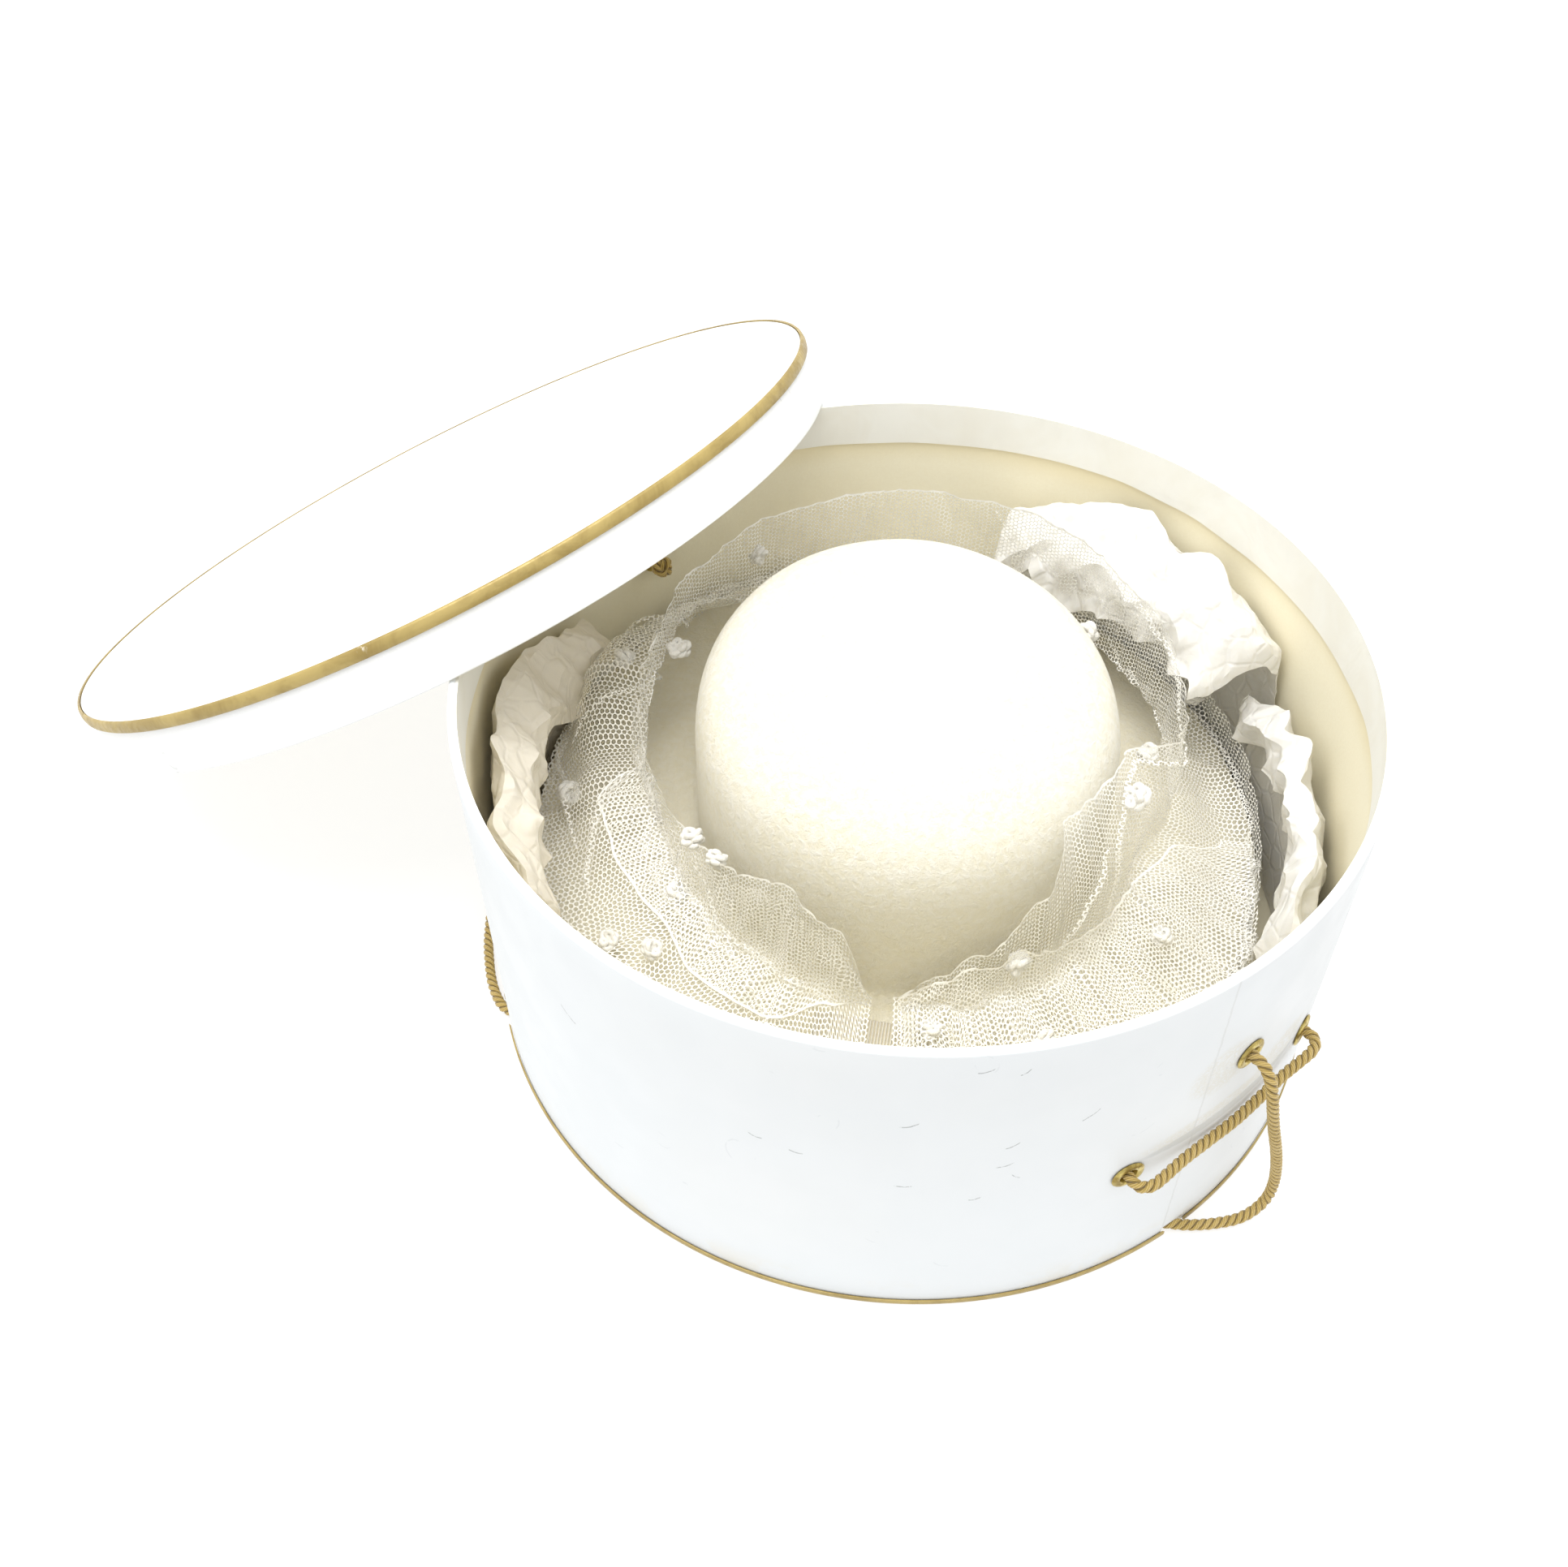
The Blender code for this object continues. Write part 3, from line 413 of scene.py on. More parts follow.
def drawn_out(name, profile, steps, ending="open"):
    """A circle drawn out from ring to ring through (radius, height) points.

    The ending is open, closed back to the first ring, or a pole in the middle.
    """
    deselect()
    radius, height = profile[0]
    bpy.ops.mesh.primitive_circle_add(vertices=steps, radius=radius, location=(0.0, 0.0, 0.0))
    piece = bpy.context.object
    piece.name = name
    bpy.ops.object.mode_set(mode="EDIT")
    bpy.ops.mesh.select_all(action="SELECT")
    bpy.ops.transform.translate(value=(0.0, 0.0, height))
    rings = list(profile[1:])
    if ending == "closed":
        rings.append(profile[0])
    for next_radius, next_height in rings:
        rise = {"value": (0.0, 0.0, next_height - height)}
        bpy.ops.mesh.extrude_region_move(TRANSFORM_OT_translate=rise)
        grow = next_radius / radius
        bpy.ops.transform.resize(value=(grow, grow, 1.0), center_override=(0.0, 0.0, next_height))
        radius, height = next_radius, next_height
    if ending == "pole":
        bpy.ops.mesh.merge(type="CENTER")
    bpy.ops.mesh.select_all(action="SELECT")
    bpy.ops.mesh.remove_doubles(threshold=0.000002)
    bpy.ops.mesh.normals_make_consistent(inside=False)
    bpy.ops.object.mode_set(mode="OBJECT")
    return piece


def finished(piece, finish, nodes, place=None):
    """Gives a piece its finish and place, and lets it stand for its nodes."""
    if place:
        piece.data.transform(place)
    if not piece.data.materials:
        piece.data.materials.append(finish)
    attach(piece, "root")
    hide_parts(*nodes)
    return piece


def two_finishes(piece, outside, inside, is_inside):
    """Two finishes on one piece, the second on the faces that pass the test."""
    piece.data.materials.append(outside)
    piece.data.materials.append(inside)
    for face in piece.data.polygons:
        face.material_index = 1 if is_inside(face) else 0


class Cloth:
    """Grids of points joined into one mesh, each with its place on the flat cloth in metres."""

    def __init__(self):
        self.points = []
        self.faces = []
        self.places = []

    def add(self, rows, gather=1.0, start=0.0):
        """Start is the distance from the hem at which the rows begin."""
        first = len(self.points)
        count = len(rows[0])
        middle = count // 2
        total = sum((after[middle] - before[middle]).length for before, after in zip(rows, rows[1:]))
        across = [gather * total * i / (len(rows) - 1) for i in range(len(rows))]
        along = []
        for row in rows:
            run = [start]
            for before, after in zip(row, row[1:]):
                run.append(run[-1] + (after - before).length)
            along.append(run)
            self.points.extend(row)
        for i in range(len(rows) - 1):
            for j in range(count - 1):
                a = first + i * count + j
                b = a + count
                self.faces.append((a, b, b + 1, a + 1))
                for m, n in ((i, j), (i + 1, j), (i + 1, j + 1), (i, j + 1)):
                    self.places.append((across[m], along[m][n]))

    def made(self, name, finish):
        mesh = bpy.data.meshes.new(name)
        mesh.from_pydata(self.points, [], self.faces)
        layer = mesh.uv_layers.new(name="cloth")
        for loop, place in zip(layer.uv, self.places):
            loop.vector = place
        mesh.materials.append(finish)
        mesh.shade_smooth()
        piece = bpy.data.objects.new(name, mesh)
        bpy.context.scene.collection.objects.link(piece)
        return piece

    def area(self):
        total = 0.0
        for a, b, c, d in self.faces:
            first, second = self.points[c] - self.points[a], self.points[d] - self.points[b]
            total += first.cross(second).length / 2
        return total


def curve_through(points, parts):
    """A smooth curve through the points, with so many parts from each to the next."""
    ends = [2 * points[0] - points[1]] + list(points) + [2 * points[-1] - points[-2]]
    fine = []
    for a, b, c, d in zip(ends, ends[1:], ends[2:], ends[3:]):
        for i in range(parts):
            t = i / parts
            bend = 2 * a - 5 * b + 4 * c - d
            twist = 3 * b - a - 3 * c + d
            fine.append(0.5 * (2 * b + t * (c - a) + t * t * bend + t * t * t * twist))
    fine.append(points[-1])
    return fine


def smooth_route(points, spacing):
    """Evenly spaced points on a smooth curve through a route's own points."""
    fine = curve_through([Vector(point) for point in points], 24)
    lengths = [0.0]
    for first, second in zip(fine, fine[1:]):
        lengths.append(lengths[-1] + (second - first).length)
    count = max(2, round(lengths[-1] / spacing))
    made = []
    index = 0
    for i in range(count + 1):
        goal = lengths[-1] * i / count
        while index < len(fine) - 2 and lengths[index + 1] < goal:
            index += 1
        share = (goal - lengths[index]) / (lengths[index + 1] - lengths[index])
        made.append(fine[index].lerp(fine[index + 1], share))
    return made


def eased_row(table, azimuth):
    """The table's row at an azimuth, eased between its neighbours."""
    for first, second in zip(table, table[1:]):
        if azimuth <= second[0]:
            share = max(0.0, (azimuth - first[0]) / (second[0] - first[0]))
            ease = share * share * (3 - 2 * share)
            return [a + (b - a) * ease for a, b in zip(first, second)]
    return list(table[-1])


# Materials


class Finish:
    """A material's node tree, with short calls for the kinds of node used here."""

    def __init__(self, name, colour, roughness, metallic=0.0):
        self.material = bpy.data.materials.new(name)
        self.material.use_nodes = True
        self.tree = self.material.node_tree
        self.shader = self.tree.nodes["Principled BSDF"]
        self.set("Base Color", (*colour, 1.0))
        self.set("Roughness", roughness)
        self.set("Metallic", metallic)

    def give(self, socket, value):
        if isinstance(value, bpy.types.NodeSocket):
            self.tree.links.new(value, socket)
        else:
            socket.default_value = value

    def set(self, socket, value):
        self.give(self.shader.inputs[socket], value)

    def node(self, kind, inputs=None, **settings):
        made = self.tree.nodes.new("ShaderNode" + kind)
        for key, value in settings.items():
            setattr(made, key, value)
        for key, value in (inputs or {}).items():
            self.give(made.inputs[key], value)
        return made

    def object_point(self):
        return self.node("TexCoord").outputs["Object"]

    def cloth_point(self):
        return self.node("UVMap", uv_map="cloth").outputs["UV"]

    def noise(self, point, scale, detail=3.0, rough=0.55, distort=0.0):
        inputs = {
            "Vector": point,
            "Scale": scale,
            "Detail": detail,
            "Roughness": rough,
            "Distortion": distort,
        }
        return self.node("TexNoise", inputs).outputs["Fac"]

    def math(self, operation, first, second=0.0):
        return self.node("Math", {0: first, 1: second}, operation=operation).outputs[0]

    def shifted(self, point, amount):
        return self.node("VectorMath", {0: point, 1: amount}, operation="ADD").outputs[0]

    def wobbled(self, point, scale, depth):
        """The point, moved about by a soft noise."""
        colour = self.node("TexNoise", {"Vector": point, "Scale": scale, "Detail": 2.0}).outputs["Color"]
        centred = self.shifted(colour, (-0.5, -0.5, -0.5))
        small = self.node("VectorMath", {0: centred, "Scale": depth}, operation="SCALE").outputs[0]
        return self.shifted(point, small)

    def ramp(self, value, low, high, start=0.0, end=1.0):
        inputs = {"Value": value, "From Min": low, "From Max": high, "To Min": start, "To Max": end}
        return self.node("MapRange", inputs, interpolation_type="SMOOTHSTEP").outputs[0]

    def mix(self, share, first, second):
        made = self.node("Mix", data_type="RGBA")
        self.give(made.inputs["Factor"], share)
        for socket, value in ((made.inputs[6], first), (made.inputs[7], second)):
            self.give(socket, value if isinstance(value, bpy.types.NodeSocket) else (*value, 1.0))
        return made.outputs[2]

    def bump(self, height, strength, distance):
        inputs = {"Height": height, "Strength": strength, "Distance": distance}
        self.set("Normal", self.node("Bump", inputs).outputs["Normal"])


def felt_finish():
    """Brushed wool: pebbly clumps of about 2 mm under short loose fibres, with painted shade that darkens
    and yellows the felt low on the crown and over the brim.
    """
    f = Finish("brushed_ivory_felt", (0.91, 0.86, 0.73), 0.95)
    point = f.object_point()
    fibre = f.noise(point, 1500.0, 4.0, 0.7, 1.5)
    clump = f.noise(point, 330.0, 3.0, 0.6, 0.4)
    cloud = f.noise(point, 20.0, 2.0)
    tone = f.mix(f.ramp(clump, 0.3, 0.72), (0.905, 0.85, 0.67), (0.965, 0.935, 0.83))
    tone = f.mix(f.ramp(cloud, 0.35, 0.7, 0.0, 0.35), tone, (0.955, 0.925, 0.82))
    split = f.node("SeparateXYZ", {"Vector": point})
    # Painted shade: below 0.135 m the felt is mixed towards a darker yellow, up to 45 % at 0.085 m and
    # lower.
    painted_shade = f.ramp(split.outputs["Z"], 0.085, 0.135, 0.45, 0.0)
    tone = f.mix(painted_shade, tone, (0.86, 0.79, 0.585))
    f.set("Base Color", tone)
    f.set("Sheen Weight", 0.3)
    f.set("Sheen Roughness", 0.6)
    f.bump(f.math("ADD", f.math("MULTIPLY", fibre, 0.55), clump), 1.0, 0.0011)
    return f.material


def net_finish():
    """Open six-sided mesh, its holes cut by Alpha, with a close hem at the cloth's edge."""
    f = Finish("fine_ivory_net", (0.95, 0.93, 0.865), 0.75)
    place = f.cloth_point()
    point = f.wobbled(place, 150.0, 0.22 * NET_PITCH)
    turns = 2 * math.pi / (NET_PITCH * math.sqrt(3) / 2)
    total = None
    for azimuth in (0, 120, 240):
        turn = math.radians(azimuth)
        course = (turns * math.cos(turn), turns * math.sin(turn), 0.0)
        along = f.node("VectorMath", {0: point, 1: course}, operation="DOT_PRODUCT").outputs["Value"]
        wave = f.math("COSINE", along)
        total = wave if total is None else f.math("ADD", total, wave)
    thread = f.ramp(total, -0.98, -0.52, 1.0, 0.0)
    split = f.node("SeparateXYZ", {"Vector": place})
    hem = f.ramp(split.outputs["Y"], 0.0007, 0.0014, 1.0, 0.0)
    slack = f.ramp(f.noise(place, 45.0, 2.0), 0.3, 0.7, 0.8, 1.0)
    f.set("Alpha", f.math("MAXIMUM", f.math("MULTIPLY", thread, slack), hem))
    f.set("Base Color", f.mix(f.noise(place, 60.0, 2.0), (0.95, 0.93, 0.87), (0.975, 0.965, 0.93)))
    f.set("Sheen Weight", 0.2)
    return f.material


def tuft_finish():
    f = Finish("white_chenille_tuft", (0.96, 0.945, 0.90), 0.95)
    point = f.object_point()
    fibre = f.noise(point, 1700.0, 3.0, 0.7)
    f.set("Base Color", f.mix(f.ramp(fibre, 0.3, 0.7), (0.90, 0.87, 0.79), (0.97, 0.96, 0.93)))
    f.set("Sheen Weight", 0.4)
    f.bump(fibre, 0.9, 0.0007)
    return f.material


def ribbon_finish():
    f = Finish("ribbed_ivory_ribbon", (0.93, 0.88, 0.75), 0.5)
    split = f.node("SeparateXYZ", {"Vector": f.cloth_point()})
    rib = f.math("SINE", f.math("MULTIPLY", split.outputs["Y"], 2 * math.pi / 0.0013))
    warp = f.math("SINE", f.math("MULTIPLY", split.outputs["X"], 2 * math.pi / 0.0005))
    f.set("Base Color", f.mix(f.ramp(rib, -1.0, 0.3), (0.76, 0.68, 0.49), (0.95, 0.91, 0.80)))
    f.set("Sheen Weight", 0.3)
    f.bump(f.math("ADD", rib, f.math("MULTIPLY", warp, 0.15)), 0.8, 0.0005)
    return f.material


def scuffed(f, point, scale, share):
    """Small broken curved strokes on a few cells of a loose pattern."""
    bent = f.wobbled(point, 18.0, 0.03)
    cells = f.node("TexVoronoi", {"Vector": bent, "Scale": scale, "Randomness": 1.0})
    ring = f.math("ABSOLUTE", f.math("SUBTRACT", cells.outputs["Distance"], 0.30))
    line = f.ramp(ring, 0.0, 0.03, 1.0, 0.0)
    chosen = f.node("SeparateColor", {"Color": cells.outputs["Color"]}).outputs["Red"]
    rare = f.ramp(chosen, share - 0.01, share, 1.0, 0.0)
    broken = f.ramp(f.noise(point, 150.0, 2.0), 0.52, 0.60)
    return f.math("MULTIPLY", f.math("MULTIPLY", line, rare), broken)


def box_place(f, point):
    """Azimuth in degrees round the box's axis, and height, of a point on its wall."""
    centred = f.shifted(point, (-AXIS_X, -AXIS_Y, 0.0))
    split = f.node("SeparateXYZ", {"Vector": centred})
    turn = f.math("ARCTAN2", split.outputs["Y"], split.outputs["X"])
    return f.math("MULTIPLY", turn, 180 / math.pi), split.outputs["Z"]


def patch(f, azimuth, height, centre, half_width, half_height, soft):
    """1 within an oval on the wall, fading to 0 over a soft edge."""
    degrees = math.degrees(half_width / BOX_RADIUS)
    across = f.math("DIVIDE", f.math("SUBTRACT", azimuth, centre[0]), degrees)
    along = f.math("DIVIDE", f.math("SUBTRACT", height, centre[1]), half_height)
    reach = f.math("ADD", f.math("MULTIPLY", across, across), f.math("MULTIPLY", along, along))
    return f.ramp(reach, 1 - soft, 1 + soft, 1.0, 0.0)


def stroke(f, azimuth, height, row):
    """A thin slanted scratch on the wall."""
    centre, level, half_width, slant = row
    off = f.math("MULTIPLY", f.math("SUBTRACT", azimuth, centre), math.radians(1.0) * BOX_RADIUS)
    lean = f.math("MULTIPLY", off, slant)
    bend = f.math("MULTIPLY", f.math("MULTIPLY", off, off), 0.25 / half_width)
    rise = f.math("SUBTRACT", f.math("SUBTRACT", f.math("SUBTRACT", height, level), lean), bend)
    thin = f.ramp(f.math("ABSOLUTE", rise), 0.00018, 0.00042, 1.0, 0.0)
    return f.math("MULTIPLY", thin, f.ramp(f.math("ABSOLUTE", off), 0.8 * half_width, half_width, 1.0, 0.0))


def wall_finish():
    """White coated paper on board: its seam, scratches, rubbed band over the cord and worn eyelets."""
    # Painted shade: this base colour and the two cloud tones below are a greyer, bluer white than the lid's
    # paper, standing for the shade on the box's wall.
    f = Finish("white_box_paper", (0.74, 0.757, 0.765), 0.42)
    point = f.object_point()
    azimuth, height = box_place(f, f.wobbled(point, 230.0, 0.0012))
    fine = f.noise(point, 330.0, 4.0, 0.7, 2.0)
    cloud = f.noise(point, 6.0, 3.0)
    tone = f.mix(f.ramp(cloud, 0.35, 0.75, 0.0, 0.7), (0.735, 0.757, 0.765), (0.765, 0.77, 0.76))
    low = f.ramp(height, 0.0, 0.022, 1.0, 0.0)
    stain = f.math("MULTIPLY", low, f.ramp(f.noise(point, 30.0, 4.0, 0.7), 0.48, 0.62))
    tone = f.mix(f.math("MULTIPLY", stain, 0.6), tone, (0.72, 0.69, 0.60))
    worn = patch(f, azimuth, height, (-55.5, 0.112), 0.016, 0.013, 0.5)
    worn = f.math("MAXIMUM", worn, patch(f, azimuth, height, (-43.0, 0.087), 0.016, 0.009, 0.5))
    worn = f.math("MAXIMUM", worn, patch(f, azimuth, height, (-51.5, 0.080), 0.043, 0.0065, 0.4))
    worn = f.math("MULTIPLY", worn, f.ramp(fine, 0.36, 0.56))
    tone = f.mix(f.math("MULTIPLY", worn, 0.75), tone, (0.70, 0.68, 0.61))
    edge = patch(f, azimuth, height, (-51.5, 0.0765), 0.043, 0.0030, 0.3)
    tone = f.mix(f.math("MULTIPLY", edge, 0.55), tone, (0.52, 0.53, 0.52))
    seam = f.ramp(f.math("ABSOLUTE", f.math("SUBTRACT", azimuth, SEAM_DEG)), 0.08, 0.22, 1.0, 0.0)
    tone = f.mix(f.math("MULTIPLY", seam, 0.45), tone, (0.60, 0.60, 0.58))
    marks = None
    for row in SCUFFS:
        one = stroke(f, azimuth, height, row)
        marks = one if marks is None else f.math("MAXIMUM", marks, one)
    marks = f.math("MULTIPLY", marks, f.ramp(fine, 0.38, 0.52))
    tone = f.mix(f.math("MULTIPLY", marks, 0.7), tone, (0.30, 0.31, 0.30))
    faint = scuffed(f, point, 62.0, 0.10)
    tone = f.mix(f.math("MULTIPLY", faint, 0.5), tone, (0.62, 0.64, 0.65))
    f.set("Base Color", tone)
    f.set("Roughness", f.ramp(f.noise(point, 40.0, 3.0), 0.3, 0.7, 0.36, 0.58))
    relief = f.math("ADD", f.math("MULTIPLY", cloud, 2.0), f.math("MULTIPLY", marks, -0.5))
    relief = f.math("ADD", relief, f.math("MULTIPLY", seam, 0.3))
    f.bump(f.math("ADD", relief, f.math("MULTIPLY", f.noise(point, 1200.0, 2.0), 0.08)), 0.35, 0.0006)
    return f.material


def lid_finish():
    """The lid's white paper, bare, with faint scuffs and a rubbed rim."""
    f = Finish("white_lid_paper", (0.85, 0.852, 0.845), 0.42)
    point = f.object_point()
    cloud = f.ramp(f.noise(point, 7.0, 3.0), 0.35, 0.75, 0.0, 0.7)
    tone = f.mix(cloud, (0.85, 0.855, 0.85), (0.85, 0.843, 0.81))
    tone = f.mix(f.math("MULTIPLY", scuffed(f, point, 55.0, 0.12), 0.55), tone, (0.60, 0.60, 0.58))
    rub = f.ramp(f.noise(point, 330.0, 4.0, 0.7, 2.0), 0.68, 0.76)
    rub = f.math("MULTIPLY", rub, f.ramp(f.noise(point, 16.0, 2.0), 0.52, 0.68))
    tone = f.mix(f.math("MULTIPLY", rub, 0.4), tone, (0.72, 0.71, 0.67))
    f.set("Base Color", tone)
    f.set("Roughness", f.ramp(f.noise(point, 40.0, 3.0), 0.3, 0.7, 0.34, 0.55))
    relief = f.math("ADD", f.math("MULTIPLY", f.noise(point, 9.0, 2.0), 2.0), f.noise(point, 1200.0, 2.0))
    f.bump(relief, 0.3, 0.0005)
    return f.material


def board_finish():
    """Bare tan board inside the box, browner in a band just under the rim's paper."""
    f = Finish("tan_board", (0.88, 0.83, 0.66), 0.88)
    point = f.object_point()
    azimuth, height = box_place(f, f.wobbled(point, 9.0, 0.010))
    fibre = f.noise(point, 700.0, 4.0, 0.7)
    cloud = f.noise(point, 12.0, 3.0)
    tone = f.mix(f.ramp(cloud, 0.3, 0.75), (0.90, 0.855, 0.685), (0.875, 0.82, 0.64))
    band = f.math("MULTIPLY", f.ramp(height, 0.132, 0.149), f.ramp(azimuth, -60.0, 20.0, 0.35, 1.0))
    tone = f.mix(f.math("MULTIPLY", band, 0.6), tone, (0.76, 0.65, 0.38))
    tone = f.mix(f.ramp(fibre, 0.2, 0.8, 0.0, 0.2), tone, (0.76, 0.67, 0.46))
    f.set("Base Color", tone)
    f.bump(fibre, 0.25, 0.0003)
    return f.material


def band_finish():
    """Off-white paper pasted inside the rim, a little cockled."""
    f = Finish("rim_band_paper", (0.90, 0.89, 0.83), 0.6)
    point = f.object_point()
    cockle = f.noise(point, 30.0, 3.0, 0.6, 0.8)
    tone = f.mix(f.ramp(cockle, 0.35, 0.7), (0.86, 0.855, 0.81), (0.83, 0.815, 0.75))
    f.set("Base Color", tone)
    f.bump(cockle, 0.5, 0.0012)
    return f.material


def gold_finish():
    f = Finish("worn_gold_paper", (0.50, 0.37, 0.15), 0.42, 0.2)
    point = f.object_point()
    clump = f.noise(point, 46.0, 4.0, 0.65, 0.6)
    fine = f.noise(point, 420.0, 3.0, 0.7)
    tone = f.mix(f.ramp(clump, 0.35, 0.7), (0.46, 0.345, 0.12), (0.31, 0.22, 0.065))
    worn = f.math("MULTIPLY", f.ramp(clump, 0.65, 0.71), f.ramp(fine, 0.5, 0.6))
    tone = f.mix(worn, tone, (0.84, 0.78, 0.64))
    f.set("Base Color", tone)
    f.set("Roughness", f.ramp(fine, 0.3, 0.7, 0.32, 0.55))
    f.bump(fine, 0.3, 0.0003)
    return f.material


def brass_finish():
    f = Finish("aged_brass", (0.60, 0.48, 0.17), 0.3, 1.0)
    point = f.object_point()
    clump = f.noise(point, 260.0, 4.0, 0.7)
    f.set("Base Color", f.mix(f.ramp(clump, 0.35, 0.7), (0.62, 0.50, 0.17), (0.30, 0.215, 0.06)))
    f.set("Roughness", f.ramp(clump, 0.3, 0.7, 0.22, 0.5))
    f.bump(clump, 0.25, 0.0003)
    return f.material


def rope_finish():
    """Twisted yarn: the cloth's place is the length along a strand, and the turn round it. The side of each
    strand that faces the rope's middle is painted dark as shade in the grooves.
    """
    f = Finish("twisted_gold_rope", (0.62, 0.44, 0.17), 0.5)
    split = f.node("SeparateXYZ", {"Vector": f.cloth_point()})
    along, around = split.outputs["X"], split.outputs["Y"]
    run = f.math("MULTIPLY", along, 2 * math.pi / 0.0022)
    yarn = f.math("SINE", f.math("ADD", run, f.math("MULTIPLY", around, 14 * math.pi)))
    # Painted shade: the side of each strand that faces the rope's middle, where the grooves are, is mixed
    # almost fully towards a dark brown.
    inward = f.ramp(f.math("ABSOLUTE", f.math("SUBTRACT", around, 0.5)), 0.26, 0.41, 1.0, 0.0)
    clump = f.noise(f.object_point(), 75.0, 3.0)
    tone = f.mix(f.ramp(yarn, -0.9, 0.6), (0.47, 0.32, 0.075), (0.68, 0.49, 0.16))
    tone = f.mix(f.ramp(clump, 0.4, 0.75, 0.0, 0.5), tone, (0.74, 0.56, 0.23))
    tone = f.mix(f.math("MULTIPLY", inward, 0.92), tone, (0.20, 0.12, 0.015))
    f.set("Base Color", tone)
    f.set("Sheen Weight", 0.2)
    f.bump(yarn, 0.7, 0.0003)
    return f.material


def tissue_finish():
    """Thin white tissue that lets some light through, its tone varying at random, with painted shade that
    darkens and browns the sheets at the box's left.
    """
    f = Finish("crumpled_tissue", (0.92, 0.90, 0.85), 0.6)
    point = f.object_point()
    fine = f.noise(point, 120.0, 4.0, 0.6, 1.0)
    tone = f.mix(f.ramp(fine, 0.3, 0.7), (0.83, 0.81, 0.755), (0.79, 0.76, 0.69))
    split = f.node("SeparateXYZ", {"Vector": point})
    # Painted shade: towards the box's left the tissue is mixed up to 80 % towards a darker brown.
    painted_left_shade = f.ramp(split.outputs["X"], AXIS_X - 0.13, AXIS_X - 0.05, 0.8, 0.0)
    tone = f.mix(painted_left_shade, tone, (0.84, 0.76, 0.60))
    f.set("Base Color", tone)
    f.set("Subsurface Weight", 0.2)
    f.set("Subsurface Radius", (0.006, 0.005, 0.003))
    f.set("Subsurface Scale", 1.0)
    cells = f.node("TexVoronoi", {"Vector": point, "Scale": 90.0}, feature="DISTANCE_TO_EDGE")
    crease = f.ramp(cells.outputs["Distance"], 0.0, 0.12)
    f.bump(f.math("ADD", crease, f.math("MULTIPLY", fine, 0.8)), 0.35, 0.0008)
    return f.material


FELT = felt_finish()
NET = net_finish()
TUFT = tuft_finish()
RIBBON = ribbon_finish()
WALL_PAPER = wall_finish()
LID_PAPER = lid_finish()
BARE_BOARD = board_finish()
BAND_PAPER = band_finish()
GOLD_PAPER = gold_finish()
BRASS = brass_finish()
ROPE = rope_finish()
TISSUE = tissue_finish()


# Camera


def build_camera():
    down = math.radians(CAMERA_DOWN_DEG)
    roll = math.radians(CAMERA_ROLL_DEG)
    ahead = Vector((0.0, math.cos(down), -math.sin(down)))
    upward = Vector((0.0, math.sin(down), math.cos(down)))
    side = Vector((1.0, 0.0, 0.0))
    right = math.cos(roll) * side + math.sin(roll) * upward
    top = math.cos(roll) * upward - math.sin(roll) * side
    data = bpy.data.cameras.new("camera")
    data.lens = LENS
    data.sensor_width = SENSOR
    data.sensor_fit = "HORIZONTAL"
    data.clip_start = 0.01
    camera = bpy.data.objects.new("camera", data)
    turn = Matrix((right, top, -ahead)).transposed().to_4x4()
    camera.matrix_world = TO_AXIS @ Matrix.Translation(CAMERA_PLACE) @ turn
    bpy.context.scene.collection.objects.link(camera)
    bpy.context.scene.camera = camera


# Cords


def twisted_rope(name, path):
    """Three strands twisted round the path, each a round tube with its ends closed."""
    strand_off = 0.50 * CORD_RADIUS
    strand_radius = CORD_RADIUS - strand_off
    sides = 8
    step = (path[1] - path[0]).length
    courses = []
    for i in range(len(path)):
        before, after = path[max(i - 1, 0)], path[min(i + 1, len(path) - 1)]
        courses.append((after - before).normalized())
    side = courses[0].orthogonal().normalized()
    frames = []
    for course in courses:
        side = (side - course * side.dot(course)).normalized()
        frames.append((side, course.cross(side)))
    points, faces, places = [], [], []
    for strand in range(3):
        first = len(points)
        for i, point in enumerate(path):
            turn = 2 * math.pi * (strand / 3 - i * step / CORD_PITCH)
            across, over = frames[i]
            out = across * math.cos(turn) + over * math.sin(turn)
            tangent = over * math.cos(turn) - across * math.sin(turn)
            lead = courses[i] * CORD_PITCH - tangent * (2 * math.pi * strand_off)
            beside = lead.normalized().cross(out)
            centre = point + out * strand_off
            for k in range(sides):
                angle = 2 * math.pi * k / sides
                points.append(centre + strand_radius * (out * math.cos(angle) + beside * math.sin(angle)))
        for i in range(len(path) - 1):
            a, b = first + i * sides, first + (i + 1) * sides
            low, high = i * step, (i + 1) * step
            for k in range(sides):
                n = (k + 1) % sides
                near, far = k / sides, (k + 1) / sides
                faces.append((a + k, a + n, b + n, b + k))
                places += [(low, near), (low, far), (high, far), (high, near)]
        last = first + (len(path) - 1) * sides
        faces.append(tuple(first + k for k in reversed(range(sides))))
        faces.append(tuple(last + k for k in range(sides)))
        places += [(0.0, 0.0)] * (2 * sides)
    mesh = bpy.data.meshes.new(name)
    mesh.from_pydata(points, [], faces)
    layer = mesh.uv_layers.new(name="cloth")
    for loop, place in zip(layer.uv, places):
        loop.vector = place
    mesh.shade_smooth()
    piece = bpy.data.objects.new(name, mesh)
    bpy.context.scene.collection.objects.link(piece)
    return piece


